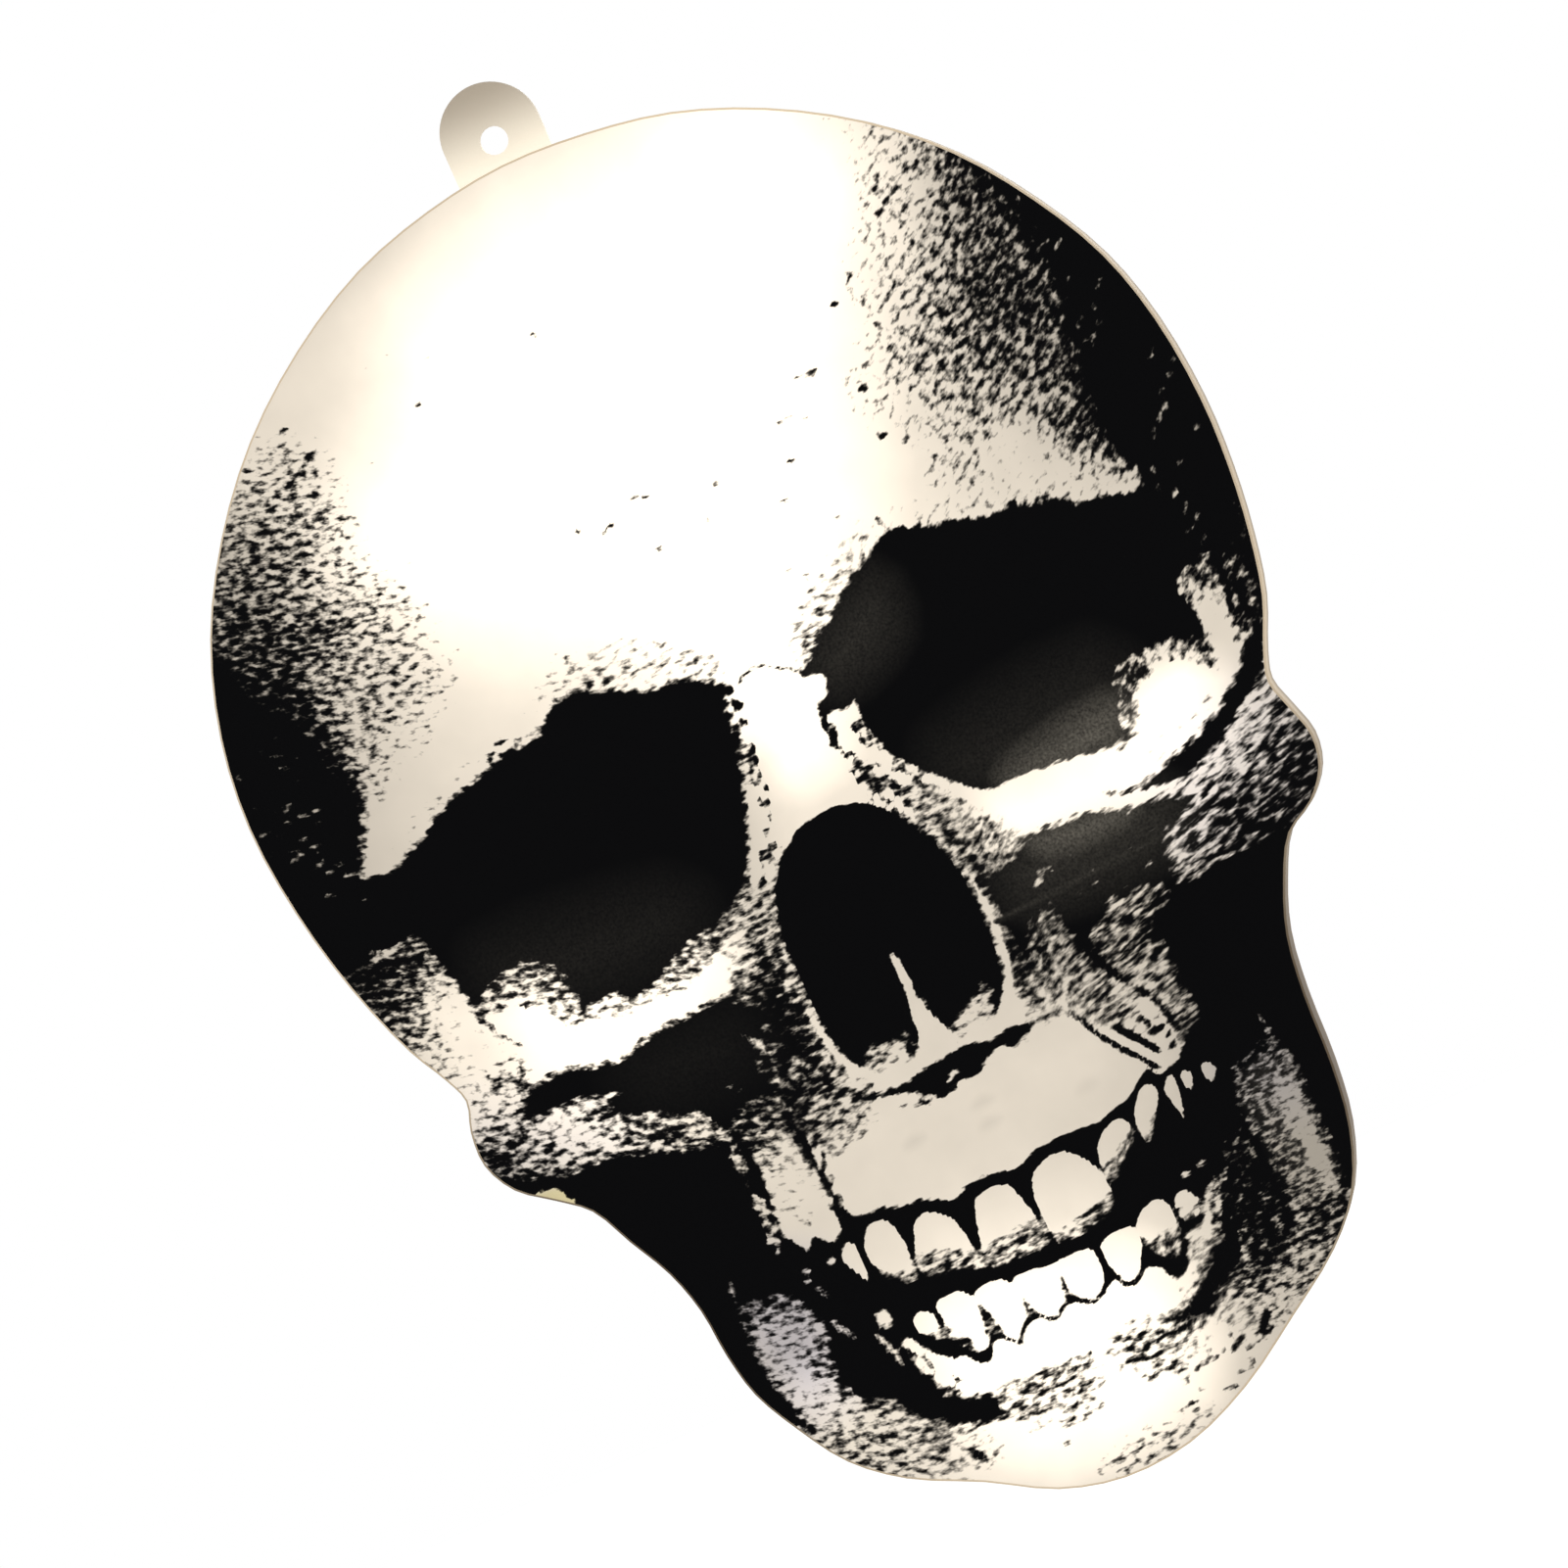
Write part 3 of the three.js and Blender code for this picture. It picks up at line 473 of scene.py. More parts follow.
def paintTemples():
    # viewer's left: black at the rim, broken up towards the forehead, with a darker band across
    wash(2.4, [(-61, 45, 0.75), (-58, 41, 0.5), (-56, 47, 0.76), (-53, 39, 0.4), (-50, 32, 0.25), (-47, 36, 0.38),
        (-49, 42, 0.55), (-45, 47, 0.24), (-50, 48, 0.48), (-48, 58, 0.46), (-43, 57, 0.26), (-42, 34, 0.18),
        (-41, 44, 0.12), (-42, 62, 0.34), (-38, 59, 0.2), (-38, 64, 0.24), (-47, 65, 0.33), (-50, 71, 0.26),
        (-44, 69, 0.14), (-35, 60, 0.06), (-38, 68, 0.08), (-46, 29, 0.12)],
        [(-57, 34), (-52, 29), (-46, 26), (-41, 27), (-38, 31), (-38.5, 40), (-38, 48), (-35, 53), (-34, 60),
         (-36, 67), (-41, 71), (-46, 71), (-49, 75), (-60, 76), (-72, 70), (-72, 44)])
    patch(0.76, 2.2, [(-62, 50), (-54, 49.8), (-47, 50.8), (-45, 52.5), (-48, 54.5), (-54, 55.5), (-60, 57)])
    patch(0.88, 1.6, [(-60, 55), (-54, 55.5), (-52.3, 60), (-51.7, 66), (-51.5, 71), (-52.5, 76), (-56, 76),
        (-58, 64)])
    patch(1, 1.0, [(-63, 46), (-62, 50), (-60.5, 54), (-59.5, 57), (-57.5, 60), (-56, 63), (-55, 66), (-54, 70),
        (-52.7, 73), (-52.4, 75), (-53, 78), (-54.8, 81.5), (-56, 84), (-56, 86), (-54, 87), (-54, 95), (-60, 96.5),
        (-68, 97), (-75, 90), (-75, 55), (-67, 46)])
    flecks(3, 0.7, 30, [(-67, 60), (-60, 60), (-57, 70), (-58, 84), (-67, 84)], -20, 1.0, 0.4)
    # viewer's right: a wide black edge, then stipple down to the brow
    wash(2.4, [(46, 28, 0.22), (50, 24, 0.1), (54, 26, 0.34), (57, 29, 0.62), (59, 33, 0.85), (53, 33, 0.47),
        (49, 34, 0.14), (45, 35, 0.07), (50, 40, 0.3), (54, 40, 0.6), (60, 40, 0.72), (54, 46, 0.8), (49, 46, 0.5),
        (45, 43, 0.25), (41, 45, 0.1), (41, 51, 0.36), (47, 53, 0.58), (52, 55, 0.62), (58, 50, 0.8),
        (35, 51, 0.08), (38, 56, 0.03), (44, 58, 0.3), (50, 60, 0.36), (58, 60, 0.66), (54, 63, 0.3),
        (48, 66, 0.16), (42, 65, 0.2), (58, 68, 0.74), (56, 74, 0.25), (35, 44, 0.02), (40, 36, 0.03),
        (37, 46, 0.04), (38, 63, 0.02), (44, 21, 0.02), (42, 27, 0.03), (34, 57, 0.02)],
        [(44, 17), (50, 18), (58, 26), (66, 38), (66, 60), (62, 76), (57, 76), (52, 69), (44, 69.5), (38, 68),
         (36, 62), (31, 53), (36, 45), (39, 36), (43, 30), (44, 24)])
    patch(1, 1.4, [(53.5, 21.5), (57, 26.5), (59, 31), (61, 35.5), (61.5, 40), (62, 44), (63, 48), (62, 52),
        (61.4, 56), (61, 60), (60.3, 66), (60.6, 72), (62.8, 76.5), (63.5, 79), (62, 82), (66, 92), (80, 92),
        (80, 50), (66, 28), (56, 18)])
    flecks(5, 0.65, 70, [(58, 30), (63, 36), (67, 44), (66, 54), (63, 60), (60, 60), (59, 40)], 38, 1.0, 0.4)
    patch(0.05, 1.2, [(49.5, 29.5), (53, 29), (53.5, 31.5), (50, 32.5)])
    patch(0.04, 1.8, [(45.5, 65.5), (49, 64), (53, 65.5), (54, 70), (55, 75), (48, 74), (44, 70.5)])
    # a fringe of dots above both sockets
    wash(1.6, [(-22, 71, 0.08), (-16, 70.5, 0.1), (-10, 74, 0.12), (-4, 77, 0.18), (-19, 73.5, 0.3), (-12, 76, 0.3),
        (-1, 81, 0.35), (-28, 75, 0.12), (-38, 79, 0.2), (-46, 82, 0.25)],
        [(-52, 84), (-44, 80), (-34, 76.5), (-26, 74), (-22, 70), (-18, 68.5), (-12, 70), (-7, 72.5), (-1, 77),
         (1, 82), (0, 90), (-3, 92), (-4, 82), (-10, 80), (-20, 77), (-34, 80), (-46, 85)])
    wash(1.6, [(12, 79, 0.18), (18, 75, 0.2), (24, 71.5, 0.2), (29, 69.5, 0.1), (38, 72.5, 0.25), (48, 74.5, 0.2),
        (14, 81, 0.4)],
        [(9, 82), (12, 78), (18, 73), (24, 69.5), (30, 68.5), (38, 71), (48, 73.5), (55, 76), (62, 78), (52, 79),
         (40, 77), (28, 74), (18, 79), (12, 84)])


def paintSpecks():
    # stray specks on the forehead and around the stipple
    dots(0.85, 0.75, [(-41, 25), (-44, 27.5), (-48, 28), (-43, 32), (-45.5, 33), (-43.5, 33.5), (-53.5, 34),
        (-41, 34.8), (-47.5, 36), (-54.5, 37), (-50, 38), (34.5, 40), (37, 39), (28, 47), (33.5, 52), (38.5, 64.5),
        (41, 67), (28, 69), (44, 29.5), (46.5, 30), (45, 31), (46, 28), (20.7, 193), (18.2, 196.8), (20, 195.8),
        (24.5, 197.3), (26, 195.7), (28, 194.5), (0.2, 195)])
    dots(0.95, 1.0, [(-39.5, 29.8), (-44, 35.5), (32, 50.2), (33.2, 58.8)])
    dots(0.6, 0.55, [(-27.5, 21.7), (-24, 21.4), (-25.2, 28), (-23, 29.3), (-32, 34), (-30, 41.7), (-33, 48.5),
        (-31.7, 62), (-19.3, 24), (-18.5, 69), (-21.8, 70.5)])
    flecks(11, 0.9, 50, [(-52, 30), (-40, 28), (-38, 42), (-42, 46), (-55, 41)], -24, 0.9, 0.45)
    dots(0.7, 0.7, [(-1.5, 52.8), (-0.6, 52.9), (0.5, 53.4), (-10, 54), (-7, 55.6), (-5.6, 55), (-1, 60.5),
        (10, 55.8), (6.5, 59.8), (21, 51.6), (22.5, 51.4), (20.5, 57), (17.5, 61.5), (26, 47), (27.5, 47.5),
        (24.5, 52.5), (-4.5, 27), (23, 66.5), (14, 70.5), (16, 72)])
    flecks(12, 0.8, 26, [(35, 38), (44, 30), (46, 40), (38, 62), (33, 58)], 30, 0.8, 0.4)
    # pale flecks in the black of the temples
    for x, d in [(-66, 74), (-62, 72), (-60.5, 74), (-61.7, 77), (-60.5, 78.5), (-63.5, 79), (-61, 81), (-58.8, 82),
            (-61.5, 85.5), (-57.3, 88), (-58, 84)]:
        stroke(0.42, 0.6, [(x - 0.7, d + 0.2), (x, d), (x + 0.7, d + 0.2)])
    stroke(0.05, 0.8, [(-59.3, 94.8), (-58.5, 95.5), (-57, 96), (-55.5, 95.7)], taper=0.3)
    for x, d in [(68.5, 52), (67, 54.5), (66.5, 57), (64.7, 58.7), (71, 63.5), (73.3, 65.5), (72.5, 67), (70.5, 69),
            (70, 71), (68.5, 72), (67, 73.5), (73, 75), (69, 78.2), (65, 78), (66.5, 82), (67, 84.5), (68, 86.2),
            (66, 87.8), (67.5, 89.5), (64.5, 80.8)]:
        stroke(0.45, 0.6, [(x - 0.4, d + 0.5), (x, d), (x + 0.4, d - 0.5)])


def paintLeftSocket():
    patch(1, 0.7, [(-58, 87), (-56.5, 85.5), (-52, 86), (-50, 85), (-46, 83.5), (-44, 82), (-40, 80), (-36, 79.3),
        (-33, 78), (-30, 77), (-25.5, 76.3), (-24, 75), (-22, 74), (-19, 73.9), (-17, 75), (-15, 75.7), (-13, 76.5),
        (-10, 78), (-7, 78), (-4, 79), (-2.5, 80), (-1, 81), (-1.2, 83), (-2, 85), (-2.5, 88), (-2.5, 90), (-3, 93),
        (-4, 96), (-5, 99), (-6, 102), (-7.5, 105), (-9, 108), (-10.5, 109.5), (-13, 111), (-16, 111),
        (-17.5, 111.5), (-19, 111.5), (-21, 112.5), (-24, 114.3), (-26, 115.2), (-28.5, 115.8), (-30, 115),
        (-31, 113.5), (-32.5, 113.8), (-35, 114.2), (-36.8, 113.3), (-37, 111), (-38.4, 110), (-38, 108),
        (-39.4, 107.5), (-40.3, 106.2), (-41.5, 105.5), (-43.8, 105.8), (-45.2, 106.6), (-46.2, 107.5),
        (-48.6, 107.5), (-49.3, 110.3), (-49.8, 108), (-50, 106), (-50.5, 103.5), (-51.3, 101.5), (-52, 99),
        (-52.5, 96), (-55, 95), (-62, 95), (-62, 87)])
    flecks(21, 1, 16, [(-40, 78), (-28, 74.5), (-16, 73), (-8, 76.5), (-14, 77.5), (-30, 79)], 8, 1.2, 0.5)
    flecks(22, 1, 30, [(-50, 104), (-42, 103), (-36, 108), (-30, 113.5), (-22, 111.5), (-22, 114), (-32, 117),
        (-42, 110)], -18, 1.3, 0.5)
    stroke(0, 0.6, [(-30, 77.6), (-27.5, 77.1), (-25.5, 77.2)])
    stroke(0.8, 0.6, [(-49.2, 109.5), (-48, 112.5), (-46, 114.7)], taper=0.7)
    stroke(0.8, 0.5, [(-33, 116.3), (-30, 115.8), (-27, 115)])
    for x, d, half in [(-42.5, 110.2, 1), (-41, 109.7, 0.8), (-39, 112.8, 1), (-44, 106.8, 1), (-22, 113.3, 0.8),
            (-20, 115, 0.8), (-18, 112.5, 0.8), (-16, 112, 0.8)]:
        stroke(1, 0.6, [(x - half, d - 0.3), (x, d), (x + half, d + 0.4)])
    # stippled top of the pale bump and the underside of the socket
    wash(0.8, [(-48, 108, 0.6), (-45, 107.3, 0.4), (-42.5, 106.5, 0.5), (-43.5, 109, 0.1), (-40, 107.5, 0.55),
        (-38.5, 110, 0.55), (-37, 113.5, 0.4), (-41.5, 111, 0.1)],
        [(-49, 107.5), (-45, 105.5), (-41, 104.5), (-37.5, 107), (-36.3, 111), (-35, 114.5), (-38, 115.5),
         (-40.5, 112), (-43, 109.5), (-48, 109.5)])
    wash(0.9, [(-32, 114.5, 0.2), (-27, 115, 0.12), (-21, 113, 0.5), (-18, 112.3, 0.7), (-15, 112, 0.65),
        (-11, 110.5, 0.3), (-18, 115, 0.12)],
        [(-35, 113.8), (-30, 115.3), (-26, 115), (-20, 112), (-14, 110.5), (-9.5, 108), (-9.5, 110.5), (-13, 113.5),
         (-20, 116), (-27, 116.8), (-34, 116)])
    # the pale rim outside the socket
    wash(1.2, [(-60, 97, 0.97), (-56.5, 97, 0.97), (-53, 98.5, 0.82), (-60, 102, 0.86), (-56, 102.5, 0.55),
        (-53, 102.5, 0.2), (-60, 106.5, 0.78), (-57.5, 106.5, 0.3), (-55, 107, 0.1), (-52.5, 106.5, 0.03),
        (-57, 112, 0.14), (-53, 112, 0.02), (-50, 117, 0.12), (-54, 117, 0.08)],
        [(-64, 96.5), (-57, 96.2), (-53, 96.5), (-51.5, 102), (-50.5, 108), (-49, 113), (-46, 117), (-49, 120),
         (-56, 118), (-62, 110), (-67, 102)])
    flecks(23, 0.9, 16, [(-52, 117), (-46, 117.5), (-47, 121), (-52, 121)], -18, 1.3, 0.5)


def paintRightSocket():
    patch(1, 0.6, [(9.8, 84.3), (10.6, 83.4), (12.6, 82), (14, 80.4), (16.3, 79), (18, 77.5), (20, 76), (22, 74.5),
        (25, 73), (27, 71.8), (29, 70.9), (31, 71.5), (34, 72.9), (37, 73.3), (40, 74.5), (45, 75), (48, 75.9),
        (51, 76.3), (52.5, 77.2), (53.5, 78.3), (56, 78.3), (59, 79.2), (62, 79.8), (63.2, 78.5), (62.8, 76.3),
        (61.5, 74), (66, 74), (72, 80), (74, 92), (69.5, 92), (67, 91), (65, 92.3), (62.5, 92.7), (61.5, 94.7),
        (62.3, 97), (62.5, 100), (62.3, 104), (61.8, 106.5), (61.5, 104.5), (61, 102.7), (59.5, 101.5), (57, 100.8),
        (54, 100.3), (50, 100.8), (48.5, 102.8), (49, 104), (48, 105.8), (47, 107.5), (47.3, 109.3), (46, 110.2),
        (43, 110.2), (39, 109.6), (36, 109.1), (33, 108.9), (30, 108.9), (27.5, 109), (25, 107.7), (22, 105),
        (19.5, 102.5), (17.3, 100), (16.3, 98), (15.3, 95), (15, 92), (15.2, 90), (14.5, 90.2), (13, 91),
        (12, 90.3), (10, 90.3), (10.3, 88.7), (11.8, 88), (12.7, 86.3), (12.3, 84.8), (10.5, 84.3)])
    flecks(31, 1, 24, [(20, 75), (29, 69.5), (45, 73.8), (57, 77), (62, 72), (63, 78), (50, 77), (30, 72)], 14, 1.2,
        0.5)
    wash(0.8, [(51.3, 102, 0.72), (55, 101.5, 0.12), (60, 103, 0.5), (49, 105, 0.5), (48, 108, 0.55),
        (46, 110.5, 0.5), (62, 105.5, 0.6)],
        [(47, 109), (48.2, 104.5), (48.5, 101.5), (52, 100.2), (58, 100.3), (61.5, 102), (62.4, 106.5), (60.5, 105),
         (57.5, 102.8), (53, 102.3), (50.5, 104.5), (49.5, 108), (47, 110.8), (45, 110.8)])
    wash(0.8, [(64, 93.5, 0.7), (66.5, 93, 0.65), (68.8, 94.5, 0.92), (68.8, 98.5, 0.88), (65, 95.5, 0.28),
        (64, 98, 0.04), (66, 98.5, 0.07), (63.5, 100, 0.03), (65.5, 101, 0.01), (65, 105, 0.05), (60, 110, 0.03),
        (54, 113, 0.02), (68.6, 102, 0.7)],
        [(62.3, 94), (65, 92), (69, 92.3), (70.2, 98), (69.5, 103.5), (67.3, 105.5), (64.5, 108.5), (58, 112.5),
         (50, 115.3), (50, 112), (57, 109.5), (62, 106.5), (62.9, 100)])
    patch(0.85, 0.6, [(49, 102.5), (51, 101.3), (53, 101.8), (53.3, 103.3), (51, 103.8), (49, 104.5)])
    flecks(33, 1, 44, [(67, 92), (70, 93), (70.2, 103), (67, 103.5)], 60, 1.4, 0.5)
    # the black crescent under the rim, and the print's own edge
    patch(1, 0.6, [(41, 115.8), (43, 116.4), (46, 116.8), (50, 115.5), (54, 114.3), (57, 113.2), (60, 111.5),
        (62.5, 109.5), (65, 107.5), (66.5, 105), (68, 104.2), (70, 102), (73, 98), (72, 104), (69.2, 105.8),
        (68.5, 107.5), (67.3, 109.5), (65, 111.3), (62.5, 112.7), (61, 114), (58, 115.5), (55, 117.2), (52, 118.2),
        (49, 117.8), (46, 117.4), (43.5, 116.7)])
    patch(0.95, 1.0, [(70.3, 92), (75, 84), (75.5, 92), (73, 100), (71, 103.5), (69.7, 103), (70.6, 98)])


def paintBridge():
    stroke(0.75, 0.6, [(1.5, 82), (2, 81.3), (4, 80.6), (5.5, 80.8), (7, 81.7), (9, 83), (10.5, 84.3)], taper=0.3)
    flecks(41, 0.9, 34, [(-2.5, 80), (0.6, 82), (-0.3, 92), (-2.8, 92)], -50, 0.9, 0.5)
    # broken lines down both sides, drawn as short marks along each one
    leftLine = [(-0.7, 90), (-1.2, 95), (-2.3, 100), (-4.5, 105), (-7.5, 109.5), (-10, 114.5), (-11, 119)]
    rightLines = [[(10.2, 91), (10.4, 95), (13, 100), (17, 105.7), (19.8, 111), (21, 117)],
                  [(11, 98.5), (12.5, 103), (15.5, 107.5), (18, 112.5)],
                  [(13.5, 92.7), (15.3, 98), (18.5, 103), (21.5, 108.5), (23, 114)]]
    dashes(46, leftLine, 64, 1.2, 0.3)
    dashes(43, rightLines[0], 76, 1.0, 0.4)
    dashes(44, rightLines[1], 44, 1.3, 0.3)
    dashes(45, rightLines[2], 48, 1.1, 0.35)
    wash(1.0, [(18, 108, 0.4), (20, 113, 0.55), (23, 116, 0.5), (23, 110, 0.2), (27, 117, 0.3)],
        [(16, 104.5), (20, 105.5), (24, 110), (28, 115.5), (29, 118), (22, 120), (19, 117), (17.5, 111)])
    wash(1.0, [(-8, 111, 0.5), (-9, 116, 0.65), (-10, 122, 0.75), (-13, 118, 0.45), (-12, 113, 0.12),
        (-15, 115, 0.08)],
        [(-6, 109), (-9, 109), (-14, 114), (-16, 120), (-10, 124), (-8.3, 117)])


def paintNose():
    patch(1, 0.5, [(-5.4, 109), (-4.6, 108), (-3, 106), (-1, 104.5), (0.8, 103.2), (3, 102.7), (6, 102.3), (9, 103),
        (11, 104), (13, 105.7), (14.7, 108), (16, 110.3), (17, 112), (18.3, 115.5), (19, 119), (19.3, 123),
        (19, 128), (18.5, 132), (17.5, 134.5), (16.3, 136.3), (15, 137.3), (12, 137.6), (9.5, 137.3), (8.3, 136),
        (7.4, 133), (6.8, 130), (6.2, 127), (5.7, 124), (5.4, 127), (5.1, 130), (4.6, 133), (4, 136), (3.2, 137.8),
        (0, 138), (-2.6, 137.9), (-4, 137.2), (-5.3, 135.6), (-6.3, 133), (-6.9, 130), (-7.3, 125), (-7.4, 119),
        (-7.1, 115), (-6.4, 112)])
    # grey mounds on its floor and worn edges on the spine between them
    wash(0.8, [(-3.3, 136, 0.52), (-1, 135, 0.54), (1.5, 135.2, 0.54), (2.7, 137, 0.4), (-1, 137, 0.38),
        (1, 138, 0.2)],
        [(-5, 138.5), (-4.5, 136), (-3, 134.3), (-1, 133.8), (1, 134.5), (3, 133.8), (3.8, 136), (3, 138.5)])
    wash(0.8, [(10, 136.5, 0.42), (12, 135, 0.46), (15, 133.3, 0.54), (15, 135.5, 0.42), (12.5, 137, 0.2),
        (17, 133, 0.6)],
        [(8.7, 138.5), (9.2, 136.2), (11, 134.6), (13, 133.7), (15, 132.5), (16.8, 132.5), (16.4, 135),
         (14.5, 137.6)])
    spike = [(5.6, 124.2), (5.8, 127), (6, 131)]
    stroke(0.15, 1.3, spike, taper=0.3)
    stroke(1, 2.6, spike, edge=0.6, layer="calm")
    dashes(53, [(4.9, 129), (4.6, 131), (4.2, 135), (3.4, 137.5)], 9, 0.7, 0.4)
    dashes(54, [(6.7, 129), (7.1, 131), (7.6, 134), (8.8, 136.5)], 9, 0.7, 0.4)
    # hatched rims down both sides
    wash(0.5, [(-8, 112, 0.35), (-8.8, 120, 0.5), (-8.5, 130, 0.35), (-7, 136, 0.2)],
        [(-6.6, 110), (-7.5, 116), (-7.5, 124), (-7, 131), (-5.6, 136), (-4, 138.5), (-6.3, 139.5), (-8.7, 135),
         (-9.5, 128), (-9.5, 119), (-8.8, 112)])
    for rim in (
            [(-8, 127), (-7.5, 130.5), (-7, 133), (-5.6, 136.3), (-3, 138.9), (0, 139.3)],
            [(20, 119), (20.1, 124), (19.9, 129), (19.2, 133), (17.6, 136.5), (15.5, 138.6)]):
        stroke(0.08, 0.8, rim, taper=0.3)
        stroke(0.8, 1.1, rim, edge=0.4, taper=0.2, layer="calm")
    flecks(56, 1, 60, [(-9.8, 112), (-8.4, 112), (-8.5, 124), (-8.2, 131), (-6.6, 136), (-7.6, 137), (-9.8, 131)],
        6, 0.8, 0.4)
    flecks(57, 1, 46, [(20.4, 116), (21.6, 116), (21.7, 128), (21, 133), (19.6, 136.5), (19.6, 134), (20.4, 129)],
        4, 0.8, 0.4)
    # grooves either side of the opening, then the shadow under it
    stroke(0.9, 0.6, [(-10, 136.5), (-8.4, 138.8), (-6, 140.2), (-3.5, 141), (-1.5, 141.2)], taper=0.2)
    stroke(0.8, 0.6, [(21.4, 128), (21.3, 133), (19.8, 137)], taper=0.3)
    patch(1, 0.45, [(-3.5, 140.7), (-1, 141), (1, 140.8), (3, 140.2), (6, 139.9), (9, 139.4), (11, 139.7),
        (13, 140.3), (16, 139.9), (19, 140.2), (19.2, 140.8), (17, 141.7), (16, 142.5), (14, 141.5), (12, 142.2),
        (10, 143.5), (8.5, 144), (7, 143.5), (5.5, 144.3), (4, 144.8), (2.5, 143.8), (1, 142.8), (-1, 142),
        (-3, 141.3)])
    stroke(0, 0.7, [(5.6, 143.2), (6.6, 142.3), (7.5, 142.2)])
    flecks(55, 0.9, 34, [(-6, 140), (0, 142.5), (4, 144.5), (9, 143.5), (18, 141.5), (18, 142.8), (8, 144.8),
        (3, 145.6), (-4, 143)], -14, 1.0, 0.4)


